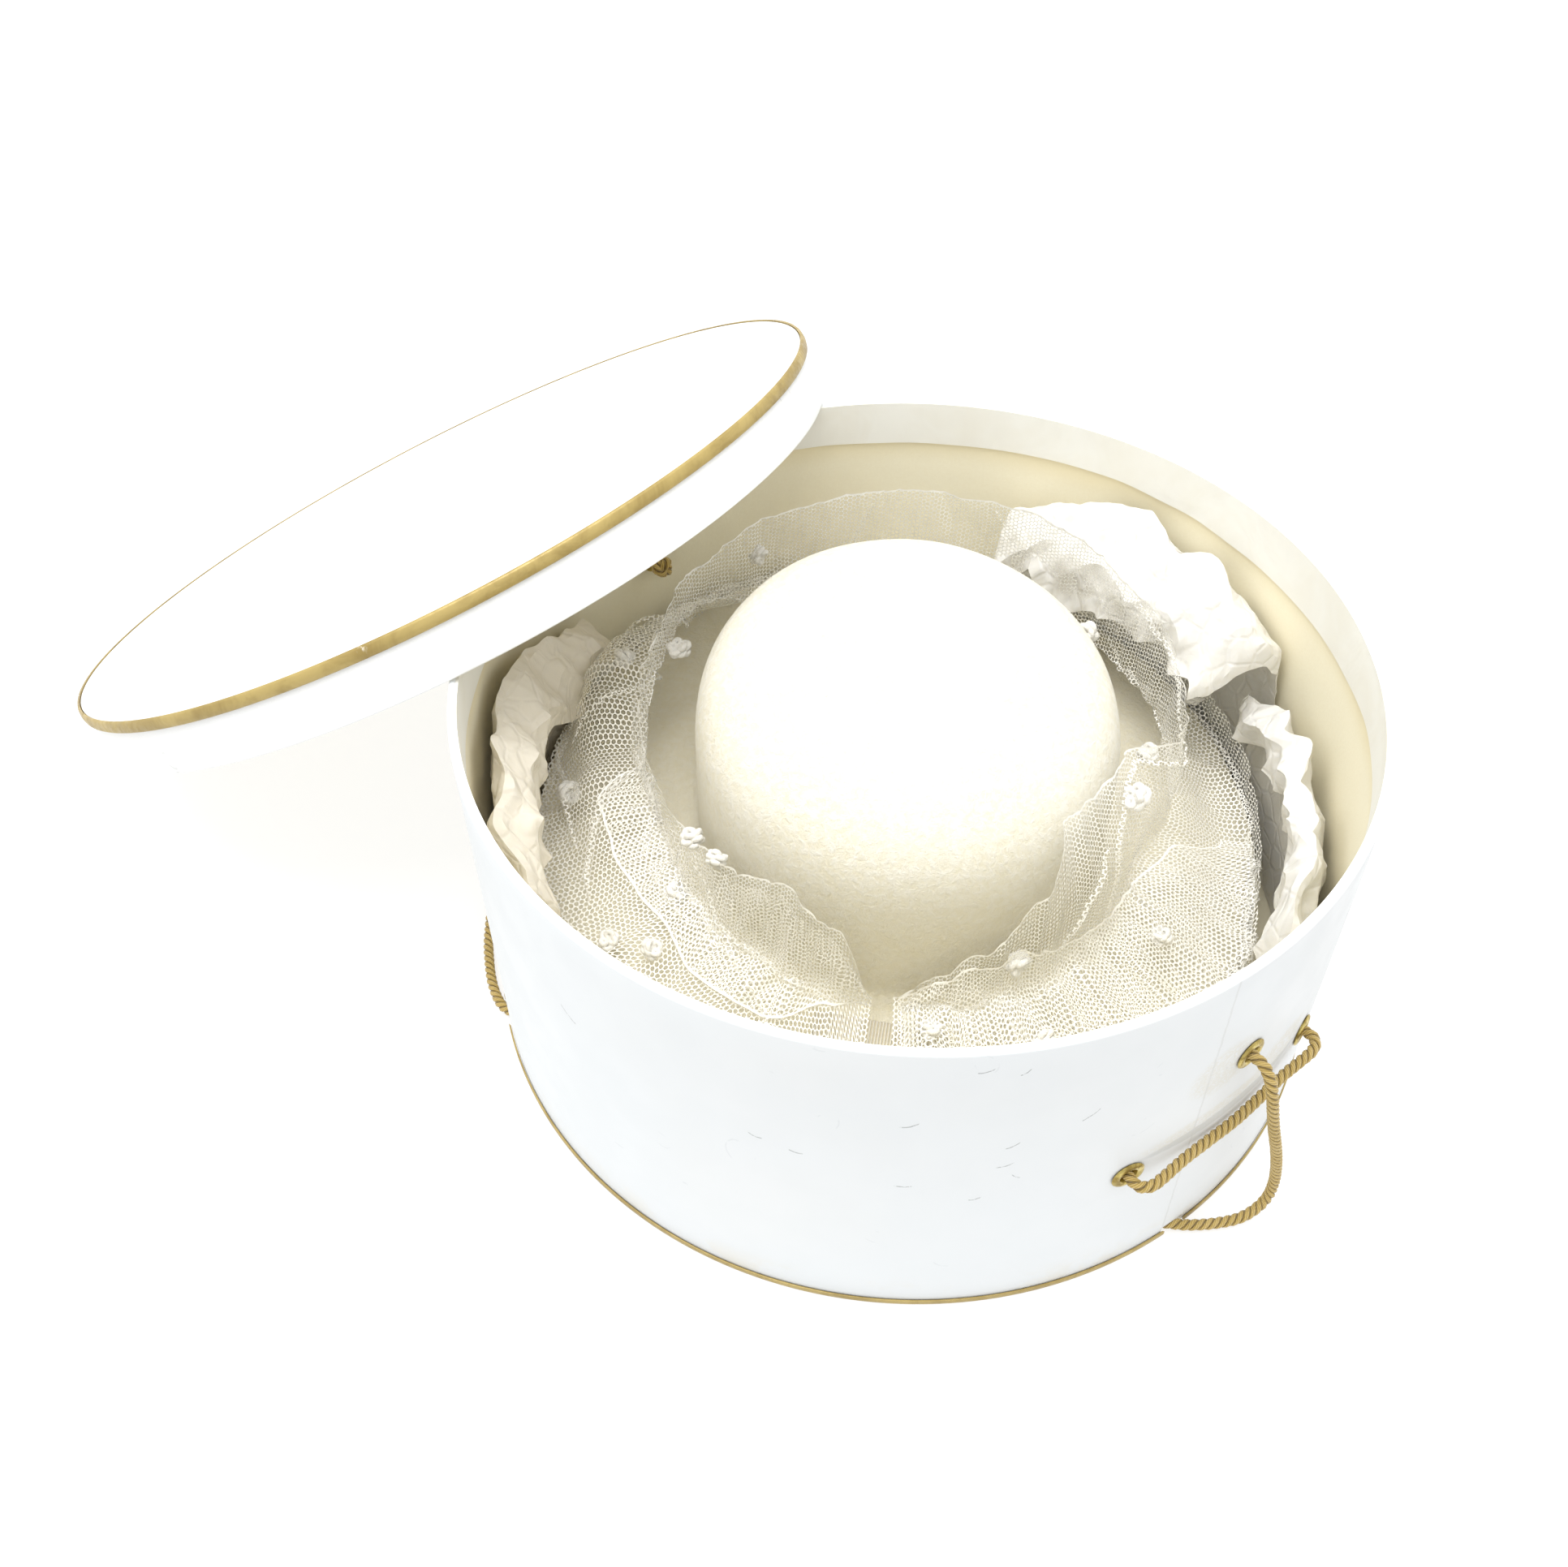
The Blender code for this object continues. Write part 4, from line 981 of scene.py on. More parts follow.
def build_knot(name):
    """A rope end tied in a knot behind its eyelet: a trefoil of the same rope."""
    azimuth, height = EYELET_PLACES[name]
    place = radial_matrix(azimuth, BOX_RADIUS - EYELET_DEPTH - 2 * GAP - 0.0052, height)
    path = []
    count = 110
    for i in range(count):
        turn = 2 * math.pi * i / (count - 1)
        reach = 0.0011 * (2 + math.cos(3 * turn))
        rise = 0.0022 * math.sin(3 * turn)
        path.append(place @ Vector((reach * math.cos(2 * turn), reach * math.sin(2 * turn), rise)))
    piece = twisted_rope("rope_knot_" + name, smooth_route(path, 0.0009))
    return finished(piece, ROPE, ["knot_" + name])


def build_cord(name, node, route):
    path = smooth_route([TO_AXIS @ Vector(point) for point in route], 0.0010)
    piece = finished(twisted_rope(name, path), ROPE, [node])


def build_cords():
    knots = {name: build_knot(name) for name in EYELET_PLACES}
    swag = [polar(*row) for row in SWAG_ROUTE]
    build_cord("swag_rope", "swag_cord", swag)
    build_cord("carrying_rope", "carry_cord", CARRY_ROUTE)


# Hat


def crown_radius(height):
    """Radius of the crown's outside at a height, before the oval."""
    rise = (height - CROWN_WALL_HEIGHT) / (CROWN_HEIGHT - CROWN_WALL_HEIGHT)
    if rise <= 0:
        return CROWN_RADIUS
    return CROWN_RADIUS * (1 - min(rise, 1.0) ** CROWN_ROUNDNESS) ** (1 / CROWN_ROUNDNESS)


def brim_top(radius):
    """Height of the brim's upper side at a radius outside the fillet."""
    start = CROWN_RADIUS + BRIM_FILLET
    share = max(0.0, (radius - start) / (BRIM_RADIUS - start))
    return BRIM_RISE * max(0.0, 1 - share) ** 1.25


def brim_wave(radius, azimuth):
    share = max(0.0, (radius - CROWN_RADIUS) / (BRIM_RADIUS - CROWN_RADIUS))
    return BRIM_WAVE * share * math.sin(2 * azimuth + 0.6)


def crown_share(radius):
    """1 on the crown and 0 at the brim's edge."""
    return max(0.0, min(1.0, (BRIM_RADIUS - radius) / (BRIM_RADIUS - CROWN_RADIUS)))


def leaned(point, radius):
    """The same point, as the crown and the net against it lean back and left over the brim."""
    rise = max(0.0, point.z - BRIM_RISE) / (CROWN_HEIGHT - BRIM_RISE)
    share = crown_share(radius) * rise
    return point + Vector((-CROWN_LEAN_LEFT * share, CROWN_LEAN_BACK * share, 0.0))


def felt_profile():
    """From the brim's edge in to the crown, up its wall and over its top."""
    start = CROWN_RADIUS + BRIM_FILLET
    foot = BRIM_RISE + BRIM_FILLET
    rise = CROWN_HEIGHT - CROWN_WALL_HEIGHT
    power = 2 / CROWN_ROUNDNESS
    brim_points, fillet_points, wall_points, dome_points = 20, 8, 12, 36
    profile = []
    for i in range(brim_points):
        radius = BRIM_RADIUS + (start - BRIM_RADIUS) * i / brim_points
        profile.append((radius, brim_top(radius)))
    for i in range(fillet_points):
        turn = math.radians(90) * (1 - i / fillet_points)
        profile.append((start - BRIM_FILLET * math.cos(turn), foot - BRIM_FILLET * math.sin(turn)))
    for i in range(wall_points):
        profile.append((CROWN_RADIUS, foot + (CROWN_WALL_HEIGHT - foot) * i / wall_points))
    for i in range(dome_points):
        turn = math.radians(90) * (i / dome_points) ** 0.8
        radius = CROWN_RADIUS * math.cos(turn) ** power
        profile.append((radius, CROWN_WALL_HEIGHT + rise * math.sin(turn) ** power))
    return profile


def build_felt():
    hat = drawn_out("brushed_felt_hat", felt_profile(), 200, "pole")
    place = hat_matrix()
    for vertex in hat.data.vertices:
        x, y, z = vertex.co
        if z > CROWN_WALL_HEIGHT and math.hypot(x, y) < 0.001:
            z = CROWN_HEIGHT
        radius = math.hypot(x, y)
        y *= 1 + CROWN_OVAL * crown_share(radius)
        soft = 0.0007 * noise.noise(Vector((24 * x, 24 * y, 24 * z)))
        height = z + brim_wave(radius, math.atan2(y, x)) + soft
        vertex.co = place @ leaned(Vector((x, y, height)), radius)
    if sum(face.normal.z * face.area for face in hat.data.polygons) < 0:
        hat.data.flip_normals()
    modify(hat, "SOLIDIFY", thickness=FELT_WALL, offset=-1.0)
    soften(hat, 0.0009, 2)
    smooth_by_angle(hat, 50)
    finished(hat, FELT, ["felt_hat"])


def veil_section(azimuth):
    """Points of (radius, height) from the veil's inner hem to its outer edge, in the hat's frame."""
    row = eased_row(VEIL_ROWS, azimuth)
    hem_height, stand, crest_reach, crest_height, outer_reach, outer_height = row[1:]
    width = BRIM_RADIUS - CROWN_RADIUS
    oval = 1 + CROWN_OVAL * abs(math.sin(math.radians(azimuth)))
    off = VEIL_REST + VEIL_STAND * stand
    hem = hem_height * CROWN_HEIGHT
    crest = crest_height * CROWN_HEIGHT
    crest_radius = CROWN_RADIUS + crest_reach * width
    middle = 0.5 * (hem + crest) + 0.1 * (hem - crest)
    foot_off = max(off, 0.35 * (crest_radius - CROWN_RADIUS))
    rest_radius = 0.5 * (crest_radius + BRIM_RADIUS)
    hem_radius = crown_radius(hem) * oval
    middle_radius = max(crown_radius(middle) * oval, hem_radius) + 0.7 * off + 0.3 * foot_off
    outer_radius = CROWN_RADIUS + outer_reach * width
    edge_height = VEIL_REST + 0.35 * outer_height * CROWN_HEIGHT
    return [
        Vector((hem_radius + off, hem)),
        Vector((middle_radius, middle)),
        Vector((CROWN_RADIUS * oval + foot_off, 0.75 * crest + 0.25 * middle)),
        Vector((crest_radius, crest)),
        Vector((rest_radius, brim_top(rest_radius) + VEIL_REST + 0.22 * crest)),
        Vector((BRIM_RADIUS - VEIL_EDGE_INSET, edge_height)),
        Vector((outer_radius, outer_height * CROWN_HEIGHT + VEIL_REST)),
    ]


def in_box(point, clearance):
    """The same point, drawn in to keep a clearance off the box's wall."""
    flat = Vector((point.x - AXIS_X, point.y - AXIS_Y, 0.0))
    limit = BOX_INNER - clearance
    if flat.length <= limit:
        return point
    flat *= limit / flat.length
    return Vector((AXIS_X + flat.x, AXIS_Y + flat.y, point.z))


def net_relief(turn, share):
    """How far the net's gathers and creases stand off it, always outwards."""
    ring = Vector((math.cos(turn), math.sin(turn), 0.0))
    broad = noise.noise(5 * ring + Vector((0.0, 0.0, 2.2 * share)))
    gather = 1 - 2.4 * abs(noise.noise(7 * ring + Vector((3.0, 0.0, 2.6 * share))))
    fine = 1 - 2.8 * abs(noise.noise(17 * ring + Vector((0.0, 7.0, 5.5 * share))))
    return 0.0016 * (1 + broad) + 0.0020 * max(0.0, gather) + 0.0008 * max(0.0, fine)


def net_rows():
    place = hat_matrix()
    start = VEIL_SPLIT_DEG + VEIL_SPLIT_HALF_DEG
    steps = 720
    rows = []
    for i in range(steps + 1):
        azimuth = start + (360 - 2 * VEIL_SPLIT_HALF_DEG) * i / steps
        turn = math.radians(azimuth)
        spots = curve_through(veil_section(azimuth), 9)
        row = []
        for j, spot in enumerate(spots):
            course = spots[min(j + 1, len(spots) - 1)] - spots[max(j - 1, 0)]
            out = Vector((-course.y, course.x)).normalized()
            spot = spot + out * (VEIL_LIFT + net_relief(turn, j / (len(spots) - 1)))
            wave = brim_wave(spot.x, turn)
            height = spot.y + wave
            if spot.x > CROWN_RADIUS:
                height = max(height, brim_top(spot.x) + wave + VEIL_REST)
            flat = Vector((spot.x * math.cos(turn), spot.x * math.sin(turn), height))
            row.append(in_box(place @ leaned(flat, spot.x), VEIL_TO_WALL))
        rows.append(row)
    return rows


class NetSurface:
    """The net's own surface, asked by azimuth and share of the way from hem to edge."""

    def __init__(self, rows):
        self.rows = rows
        self.start = VEIL_SPLIT_DEG + VEIL_SPLIT_HALF_DEG
        self.span = 360 - 2 * VEIL_SPLIT_HALF_DEG

    def at(self, azimuth, share):
        steps, columns = len(self.rows) - 1, len(self.rows[0]) - 1
        across = min(max((azimuth - self.start) / self.span, 0.0), 0.9999) * steps
        along = min(max(share, 0.0), 0.9999) * columns
        i, j = int(across), int(along)
        first = self.rows[i][j].lerp(self.rows[i][j + 1], along - j)
        second = self.rows[i + 1][j].lerp(self.rows[i + 1][j + 1], along - j)
        return first.lerp(second, across - i)

    def lifted(self, azimuth, share, lift):
        """A point so far off the net, on its outer side."""
        middle = self.at(azimuth, share)
        across = self.at(azimuth + 0.6, share) - self.at(azimuth - 0.6, share)
        along = self.at(azimuth, share + 0.02) - self.at(azimuth, share - 0.02)
        out = along.cross(across)
        if out.length < 1e-9:
            return middle
        return in_box(middle + out.normalized() * lift, 0.5 * VEIL_TO_WALL)


def layer_rows(surface, table, hem_outside):
    """A second layer of the net, its rows from its own hem inwards or outwards."""
    start, end = table[0][0], table[-1][0]
    steps, columns = round((end - start) / 0.5), 36
    rows = []
    for i in range(steps + 1):
        azimuth = start + (end - start) * i / steps
        near, far = eased_row(table, azimuth)[1:]
        if hem_outside:
            near, far = far, near
        side = min(1.0, i / 8, (steps - i) / 8)
        row = []
        for j in range(columns + 1):
            share = near + (far - near) * j / columns
            turn = math.radians(azimuth)
            gather = net_relief(turn + 0.31, share) * min(1.0, 4 * j / columns)
            row.append(surface.lifted(azimuth, share, (0.3 + 0.7 * side) * (LAYER_LIFT + 0.6 * gather)))
        rows.append(row)
    return rows


def pinch_rows(surface, route):
    """A narrow doubled fold that stands along its route on the net."""
    spots = curve_through([Vector(spot) for spot in route], 14)
    profile = (
        (-1.0, 0.15),
        (-0.55, 0.62),
        (-0.2, 0.96),
        (0.15, 1.0),
        (0.5, 0.70),
        (0.8, 0.25),
        (1.0, 0.10),
    )
    rows = []
    for i, (azimuth, share) in enumerate(spots):
        before, after = spots[max(i - 1, 0)], spots[min(i + 1, len(spots) - 1)]
        middle = surface.lifted(azimuth, share, LAYER_LIFT)
        course = surface.at(*after) - surface.at(*before)
        out = surface.lifted(azimuth, share, 2 * LAYER_LIFT) - middle
        side = course.cross(out)
        if side.length < 1e-12 or out.length < 1e-9:
            continue
        side.normalize()
        out.normalize()
        swell = math.sin(math.pi * (0.04 + 0.92 * i / (len(spots) - 1))) ** 0.6
        uneven = 1 + 0.35 * noise.noise(60 * middle)
        row = []
        for across, rise in profile:
            reach = 0.5 * PINCH_WIDTH * swell * uneven * across
            row.append(in_box(middle + side * reach + out * (PINCH_HEIGHT * swell * rise), 0.002))
        rows.append(row)
    return rows


def build_net():
    rows = net_rows()
    surface = NetSurface(rows)
    cloth = Cloth()
    cloth.add(rows, NET_GATHER)
    cloth.add(layer_rows(surface, LEFT_LAYER, True), NET_GATHER)
    cloth.add(layer_rows(surface, RIGHT_LAYER, False), NET_GATHER)
    for route in PINCHES:
        cloth.add(pinch_rows(surface, route), NET_GATHER, PINCH_FROM_HEM)
    net = finished(cloth.made("gathered_net", NET), NET, ["veil_net"])


def build_tuft():
    """Loops of chenille yarn sewn through one point, joined into one tuft."""
    deselect()
    loops = []
    for i in range(11):
        course = Vector((math.sin(2.4 * i), math.cos(2.4 * i), 1.6 * (i / 10) - 0.6)).normalized()
        turn = course.to_track_quat("X", "Z").to_euler()
        size = 0.0016 + 0.00030 * math.sin(5.1 * i)
        bpy.ops.mesh.primitive_torus_add(
            location=course * 0.0025,
            rotation=turn,
            major_segments=14,
            minor_segments=8,
            major_radius=size,
            minor_radius=0.0014,
        )
        loops.append(bpy.context.object)
    deselect()
    for loop in loops:
        loop.select_set(True)
    bpy.context.view_layer.objects.active = loops[0]
    bpy.ops.object.join()
    tuft = bpy.context.object
    bpy.ops.object.transform_apply(location=True, rotation=True, scale=True)
    for vertex in tuft.data.vertices:
        rough = noise.noise(vertex.co * 900.0)
        vertex.co *= 1 + 0.10 * rough
    modify(tuft, "SUBSURF", levels=1, render_levels=1)
    tuft.data.shade_smooth()
    return tuft


def build_dots():
    """The same tuft, turned anew, in the place of each small solid on the net."""
    tuft = build_tuft()
    for name in sorted(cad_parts):
        if not name.startswith("veil_dot"):
            continue
        low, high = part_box(name)
        number = int(name[-2:])
        turn = Matrix.Rotation(2.4 * number, 4, "Z") @ Matrix.Rotation(1.7 * number, 4, "X")
        mesh = tuft.data.copy()
        size = 1.0 + 0.1 * math.sin(3.3 * number)
        copy = bpy.data.objects.new("tuft_" + name, mesh)
        bpy.context.scene.collection.objects.link(copy)
        spot = Matrix.Translation((low + high) / 2 + Vector((0.0, 0.0, 0.0006)))
        finished(copy, TUFT, [name], spot @ turn @ Matrix.Scale(size, 4))
    bpy.data.objects.remove(tuft)


def build_ribbon(name, node, width, sideways, slant):
    place = hat_matrix()
    turn = math.radians(RIBBON_AZIMUTH_DEG)
    out = Vector((math.cos(turn), math.sin(turn), 0.0))
    side = Vector((-math.sin(turn), math.cos(turn), 0.0))
    start = CROWN_RADIUS + BRIM_FILLET + RIBBON_START
    along_steps, side_steps = 60, 24
    rows = []
    for i in range(along_steps + 1):
        row = []
        for j in range(side_steps + 1):
            across = j / side_steps - 0.5
            reach = (RIBBON_LENGTH - slant * (across + 0.5)) * i / along_steps
            flat = out * (start + reach) + side * (sideways + width * across)
            radius = flat.length
            lift = 0.0012 * (0.5 + 0.5 * math.sin(9 * across + 2.0)) * i / along_steps
            height = brim_top(radius) + brim_wave(radius, math.atan2(flat.y, flat.x))
            row.append(place @ (flat + Vector((0.0, 0.0, height + 0.0008 + lift))))
        rows.append(row)
    cloth = Cloth()
    cloth.add(rows)
    ribbon = cloth.made(name, RIBBON)
    modify(ribbon, "SOLIDIFY", thickness=0.0006, offset=0.0)
    finished(ribbon, RIBBON, [node])


# Box and lid


def steps_up(low, high, count):
    return [low + (high - low) * i / count for i in range(count + 1)]


def cut(piece, cutter):
    modify(piece, "BOOLEAN", operation="DIFFERENCE", object=cutter, solver="EXACT")
    bpy.data.objects.remove(cutter)


def round_cutter(place, radius, depth):
    deselect()
    bpy.ops.mesh.primitive_cylinder_add(vertices=SMALL_ROUND_STEPS, radius=radius, depth=depth)
    cutter = bpy.context.object
    cutter.data.transform(place)
    return cutter


def slot_cutter(index):
    """Where the carrying cord runs out under the wall."""
    middle = Vector(CARRY_ROUTE[index])
    course = Vector(CARRY_ROUTE[index + 1]) - Vector(CARRY_ROUTE[index - 1])
    turn = Matrix.Rotation(math.atan2(course.y, course.x), 4, "Z")
    size = Matrix.Diagonal((12 * BOARD, 2 * CORD_RADIUS + 0.0030, 2 * (BASE_RECESS - 2 * GAP), 1.0))
    deselect()
    bpy.ops.mesh.primitive_cube_add(size=1)
    cutter = bpy.context.object
    cutter.data.transform(TO_AXIS @ Matrix.Translation((middle.x, middle.y, 0.0)) @ turn @ size)
    return cutter


def build_wall():
    profile = [(BOX_RADIUS, height) for height in steps_up(0.0, BOX_HEIGHT, 12)]
    profile += [(BOX_INNER, height) for height in steps_up(BOX_HEIGHT, 0.0, 12)]
    wall = drawn_out("white_box_wall", profile, ROUND_STEPS, "closed")
    soften(wall, 0.0008, 3)
    wall.data.transform(TO_AXIS)
    for azimuth, height in EYELET_PLACES.values():
        place = radial_matrix(azimuth, BOX_RADIUS - BOARD / 2, height)
        cut(wall, round_cutter(place, EYELET_BARREL + 0.0002, 6 * BOARD))
    for index in SLOT_POINTS:
        cut(wall, slot_cutter(index))
    smooth_by_angle(wall, 40)
    middle = (BOX_INNER + BOX_RADIUS) / 2

    def inner(face):
        reach = math.hypot(face.center.x - AXIS_X, face.center.y - AXIS_Y)
        return reach < middle - 0.0005 and face.center.z < BOX_HEIGHT - 0.001

    two_finishes(wall, WALL_PAPER, BARE_BOARD, inner)
    finished(wall, WALL_PAPER, ["box_wall"])


def build_rim_band():
    """The paper turned in over the rim, its lower edge cut a little unevenly by hand."""
    outer = BOX_INNER + GAP
    inner = BOX_INNER - GAP - RIM_PAPER
    top, low = BOX_HEIGHT - 0.0004, BOX_HEIGHT - 0.0225
    profile = [(outer, top), (outer, low), (inner, low)] + [(inner, h) for h in steps_up(low, top, 5)[1:]]
    band = drawn_out("rim_band", profile, 360, "closed")
    for vertex in band.data.vertices:
        turn = math.atan2(vertex.co.y, vertex.co.x)
        share = (top - vertex.co.z) / (top - low)
        drop = 0.0018 * math.sin(2 * turn + 1.1) + 0.0012 * math.sin(5 * turn)
        drop += 0.0009 * noise.noise(Vector((6 * math.cos(turn), 6 * math.sin(turn), 0.0)))
        vertex.co.z -= drop * share
    smooth_by_angle(band, 40)
    finished(band, BAND_PAPER, ["rim_paper"], TO_AXIS)


def build_base():
    deselect()
    place = (0.0, 0.0, BASE_RECESS + BOARD / 2)
    bpy.ops.mesh.primitive_cylinder_add(vertices=180, radius=BOX_INNER - GAP, depth=BOARD, location=place)
    base = bpy.context.object
    base.name = "board_base"
    bpy.ops.object.transform_apply(location=True, rotation=True, scale=True)
    soften(base, 0.0004, 2)
    smooth_by_angle(base, 40)
    finished(base, BARE_BOARD, ["box_base"], TO_AXIS)


def build_base_trim():
    inner = BOX_RADIUS + GAP
    outer = inner + BASE_TRIM
    profile = [(outer, GAP), (outer, BASE_TRIM_HEIGHT), (inner, BASE_TRIM_HEIGHT), (inner, GAP)]
    trim = drawn_out("base_gold_edge", profile, ROUND_STEPS, "closed")
    soften(trim, 0.0002, 2)
    trim.data.transform(TO_AXIS)
    for index in SLOT_POINTS:
        cut(trim, slot_cutter(index))
    smooth_by_angle(trim, 40)
    finished(trim, GOLD_PAPER, ["base_trim_front", "base_trim_rear"])


def build_eyelets():
    top = GAP + EYELET_FLANGE_THICK
    back = EYELET_LIP - EYELET_DEPTH
    profile = (
        (EYELET_FLANGE, GAP + 0.0003),
        (EYELET_FLANGE - 0.0005, top - 0.0004),
        (EYELET_FLANGE - 0.0014, top - 0.0001),
        (EYELET_HOLE + 0.0009, top),
        (EYELET_HOLE + 0.0003, top - 0.0002),
        (EYELET_HOLE, top - 0.0006),
        (EYELET_HOLE, back - EYELET_LIP),
        (EYELET_BACK, back - EYELET_LIP),
        (EYELET_BACK, back),
        (EYELET_BARREL, back),
        (EYELET_BARREL, GAP),
        (EYELET_FLANGE - 0.0002, GAP),
    )
    first = drawn_out("brass_eyelet", profile, SMALL_ROUND_STEPS, "closed")
    smooth_by_angle(first, 40)
    for name, (azimuth, height) in EYELET_PLACES.items():
        eyelet = bpy.data.objects.new("brass_eyelet_" + name, first.data.copy())
        bpy.context.scene.collection.objects.link(eyelet)
        finished(eyelet, BRASS, ["eyelet_" + name], radial_matrix(azimuth, BOX_RADIUS, height))
    bpy.data.objects.remove(first)


def build_lid():
    place = lid_matrix()
    deselect()
    middle = (0.0, 0.0, -BOARD / 2)
    bpy.ops.mesh.primitive_cylinder_add(vertices=ROUND_STEPS, radius=LID_OUTER, depth=BOARD, location=middle)
    panel = bpy.context.object
    panel.name = "lid_top"
    bpy.ops.object.transform_apply(location=True, rotation=True, scale=True)
    soften(panel, 0.0007, 3)
    smooth_by_angle(panel, 40)
    two_finishes(panel, LID_PAPER, BARE_BOARD, lambda face: face.normal.z < -0.5)
    finished(panel, LID_PAPER, ["lid_panel"], place)
    inner = LID_OUTER - BOARD
    top = -BOARD - GAP
    profile = [(LID_OUTER, top), (LID_OUTER, -LID_DEPTH), (inner, -LID_DEPTH), (inner, top)]
    skirt = drawn_out("lid_side", profile, ROUND_STEPS, "closed")
    soften(skirt, 0.0007, 3)
    smooth_by_angle(skirt, 40)
    two_finishes(skirt, LID_PAPER, BAND_PAPER, lambda face: face.center.xy.length < inner + 0.0006)
    finished(skirt, LID_PAPER, ["lid_skirt"], place)
    start = LID_OUTER + GAP
    outer = start + LID_TRIM
    bulge = 0.25 * LID_TRIM
    low = -LID_TRIM_HEIGHT
    profile = (
        (start, GAP),
        (outer - 2.0 * bulge, GAP),
        (outer - 0.7 * bulge, 0.12 * low),
        (outer, 0.5 * low),
        (outer - 0.7 * bulge, 0.88 * low),
        (outer - 2.0 * bulge, low),
        (start, low),
    )
    trim = drawn_out("lid_gold_edge", profile, ROUND_STEPS, "closed")
    smooth_by_angle(trim, 60)
    finished(trim, GOLD_PAPER, ["lid_trim"], place)


# Packing paper


def crumple(arc, run):
    """Sharp ridges between the flat facets of crumpled paper, at two sizes."""
    large = noise.voronoi(Vector((42 * arc, 42 * run, 0.3)))[0]
    small = noise.voronoi(Vector((105 * arc, 105 * run, 5.1)))[0]
    return CRUMPLE * (1.1 * (large[0] - 0.35) + 0.4 * (small[0] - 0.35))


def build_bed():
    """Packing under the brim, a ring of crumpled tissue on the base."""
    place = hat_matrix()
    steps = 220
    rows = []
    for i in range(steps + 1):
        turn = 2 * math.pi * i / steps
        lump = 0.5 * CRUMPLE * math.sin(5 * turn) + 0.5 * CRUMPLE * math.sin(11 * turn + 1.0)

        def under(radius, drop):
            height = brim_top(radius) + brim_wave(radius, turn) - FELT_WALL - drop
            return place @ Vector((radius * math.cos(turn), radius * math.sin(turn), height))

        def foot(radius):
            flat = place @ Vector((radius * math.cos(turn), radius * math.sin(turn), 0.0))
            return Vector((flat.x, flat.y, FLOOR + GAP))

        inner, outer = BED_RADIUS - BED_HALF_WIDTH - lump, BED_RADIUS + BED_HALF_WIDTH + lump
        outline = (
            under(BED_RADIUS - 0.4 * BED_HALF_WIDTH, 3 * GAP),
            under(BED_RADIUS + 0.4 * BED_HALF_WIDTH, 3 * GAP),
            under(outer, 0.0).lerp(foot(outer), 0.55),
            foot(outer - 0.2 * BED_HALF_WIDTH),
            foot(inner + 0.2 * BED_HALF_WIDTH),
            under(inner, 0.0).lerp(foot(inner), 0.55),
        )
        row = []
        for j, start in enumerate(outline):
            end = outline[(j + 1) % len(outline)]
            for k in range(4):
                spot = start.lerp(end, k / 4)
                ridge = abs(noise.noise(spot * 60.0)) + 0.5 * abs(noise.noise(spot * 130.0))
                inward = (foot(BED_RADIUS) - spot) * Vector((1.0, 1.0, 0.0))
                row.append(spot if j in (0, 3) else spot + inward.normalized() * 0.006 * ridge)
        row.append(row[0])
        rows.append(row)
    cloth = Cloth()
    cloth.add(rows)
    bed = cloth.made("tissue_ring", TISSUE)
    use(bed)
    bpy.ops.object.mode_set(mode="EDIT")
    bpy.ops.mesh.select_all(action="SELECT")
    bpy.ops.mesh.remove_doubles(threshold=0.000002)
    bpy.ops.mesh.normals_make_consistent(inside=False)
    bpy.ops.object.mode_set(mode="OBJECT")
    finished(bed, TISSUE, ["tissue_bed"])


def build_sheet(name, node, start_deg, end_deg, folds):
    """Upright crumpled tissue between the brim and the wall, its top folded over inwards."""
    steps = round((end_deg - start_deg) / 0.3)
    foot = FLOOR + 2 * GAP
    standing = folds[FREE_FOLD][1]
    rows = []
    for i in range(steps + 1):
        azimuth = start_deg + (end_deg - start_deg) * i / steps
        taper = 0.3 + 0.7 * max(0.0, math.sin(math.pi * i / steps)) ** 0.35
        turn = math.radians(azimuth)
        points = []
        for j, (inset, rise) in enumerate(folds):
            loose = j / (len(folds) - 1)
            spot = Vector((6 * math.cos(turn), 6 * math.sin(turn), 1.4 * j))
            if j > FREE_FOLD:
                rise = standing + (rise - standing) * taper
            jag = 1 - 3 * abs(noise.noise(Vector((5 * math.cos(turn), 5 * math.sin(turn), 0.8 * j))))
            height = foot + rise * (BOX_HEIGHT - FLOOR) + 1.6 * CRUMPLE * loose * jag
            wrinkle = 0.9 * CRUMPLE * loose * (1 - 3 * abs(noise.noise(spot + Vector((3.0, 5.0, 9.0)))))
            points.append(Vector((inset + max(-0.5 * inset, wrinkle), max(height, foot))))
        spots = [first.lerp(second, k / 14) for first, second in zip(points, points[1:]) for k in range(14)]
        spots.append(points[-1])
        row = []
        run = 0.0
        for j, spot in enumerate(spots):
            course = spots[min(j + 1, len(spots) - 1)] - spots[max(j - 1, 0)]
            out = Vector((-course.y, course.x)).normalized()
            run += (spot - spots[max(j - 1, 0)]).length
            loose = min(1.0, max(0.0, (j / 14 - 1.0) / 1.5))
            moved = spot + out * loose * crumple(BOX_INNER * turn, run)
            row.append(TO_AXIS @ polar(azimuth, BOX_INNER - RIM_PAPER - max(0.0016, moved.x), moved.y))
        rows.append(row)
    cloth = Cloth()
    cloth.add(rows)
    sheet = cloth.made(name, TISSUE)
    modify(sheet, "SOLIDIFY", thickness=0.0003, offset=0.0)
    smooth_by_angle(sheet, 28)
    finished(sheet, TISSUE, [node])


# Floor and light


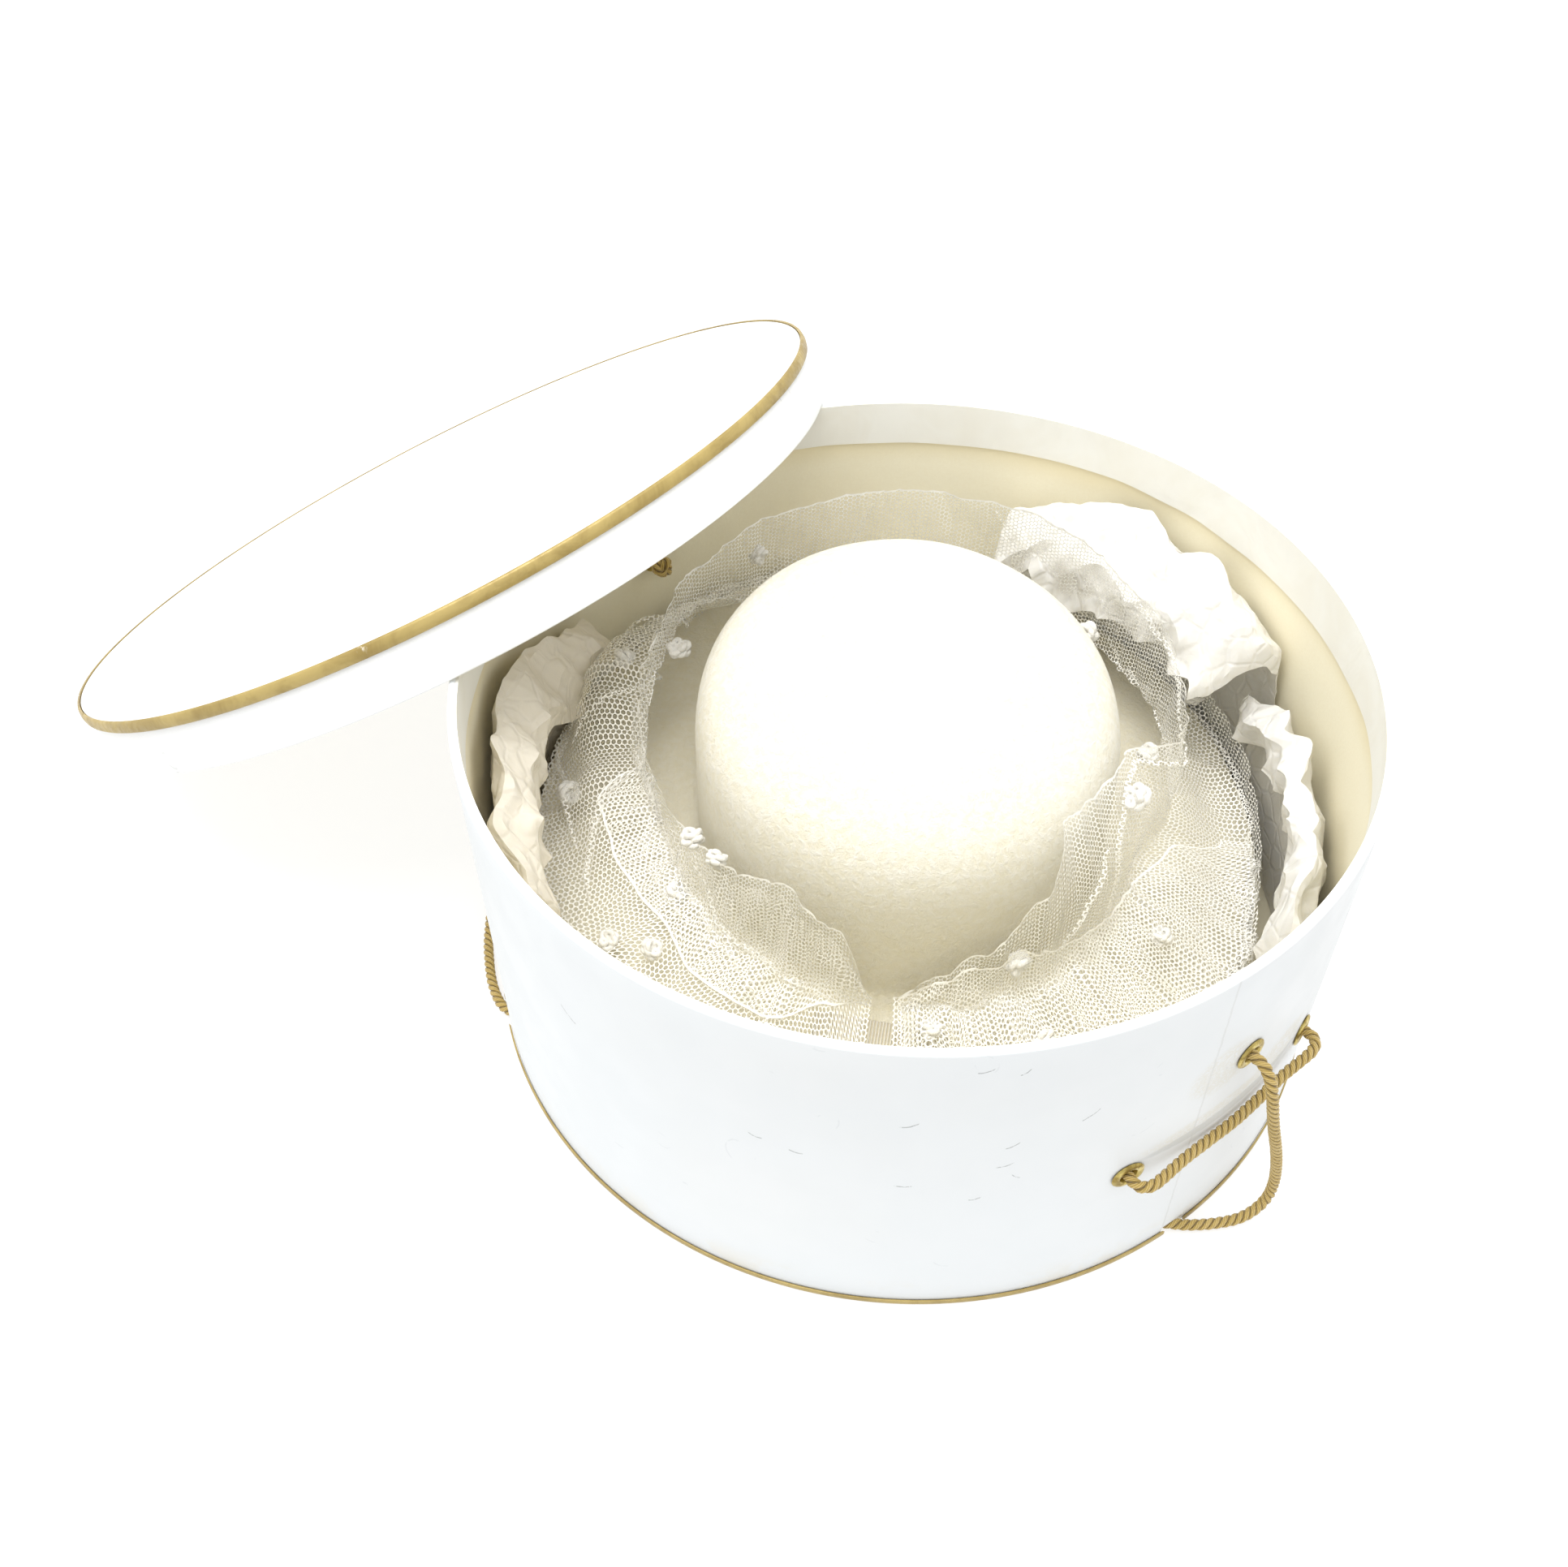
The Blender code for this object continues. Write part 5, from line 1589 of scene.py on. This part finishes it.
def build_stage():
    """A grey table top with painted light: it glows behind, beside and under the box, fading out far in
    front, to stand for a brightly lit white sweep.
    """
    deselect()
    bpy.ops.mesh.primitive_plane_add(size=8.0, location=(0.0, 0.0, 0.0))
    floor = bpy.context.object
    floor.name = "floor"
    floor.data.transform(Matrix.Translation((AXIS_X, AXIS_Y, -0.0004)))
    f = Finish("floor_painted_glow", (FLOOR_TONE, FLOOR_TONE, FLOOR_TONE), 0.75)
    split = f.node("SeparateXYZ", {"Vector": f.object_point()})
    # Painted light: the floor glows from 0.30 m in front of the box's axis backwards, fading to none at 0.90
    # m in front.
    painted_glow = f.ramp(split.outputs["Y"], AXIS_Y - 0.90, AXIS_Y - 0.30, 0.0, FLOOR_PAINTED_GLOW)
    f.set("Emission Color", (1.0, 1.0, 1.0, 1.0))
    f.set("Emission Strength", painted_glow)
    floor.data.materials.append(f.material)


def add_light(name, place, aim, size, power, colour):
    data = bpy.data.lights.new(name, "AREA")
    data.shape = "DISK"
    data.size = size
    data.energy = power
    data.color = colour
    light = bpy.data.objects.new(name, data)
    spot = Vector((AXIS_X, AXIS_Y, 0.0)) + Vector(place)
    course = Vector((AXIS_X, AXIS_Y, 0.0)) + Vector(aim) - spot
    light.matrix_world = Matrix.Translation(spot) @ course.to_track_quat("-Z", "Y").to_matrix().to_4x4()
    bpy.context.scene.collection.objects.link(light)


def build_lights():
    world = bpy.data.worlds.new("studio")
    world.use_nodes = True
    world.node_tree.nodes["Background"].inputs["Color"].default_value = (0.98, 0.99, 1.0, 1.0)
    world.node_tree.nodes["Background"].inputs["Strength"].default_value = WORLD_LIGHT
    bpy.context.scene.world = world
    add_light("overhead", (-0.30, -0.05, 2.2), (0.0, 0.0, 0.1), 1.8, OVERHEAD_POWER, (1.0, 0.995, 0.98))
    bpy.context.scene.view_settings.view_transform = "Standard"


build_camera()
build_cords()
build_felt()
build_net()
build_dots()
build_ribbon("ribbon_end", "ribbon_tab", RIBBON_WIDTH, 0.0, 0.0)
beside = (RIBBON_WIDTH + RIBBON_TAIL_WIDTH) / 2 + 3 * GAP
build_ribbon("ribbon_fold", "ribbon_tail", RIBBON_TAIL_WIDTH, beside, 0.004)
build_wall()
build_rim_band()
build_base()
build_base_trim()
build_eyelets()
build_lid()
build_bed()
build_sheet("tissue_at_left", "tissue_left", 146.0, 204.0, PAPER_LEFT)
build_sheet("tissue_at_back", "tissue_back", 18.0, 70.0, PAPER_BACK)
build_sheet("tissue_at_right", "tissue_right", -30.0, 20.0, PAPER_RIGHT)
build_stage()
build_lights()

bpy.context.view_layer.update()
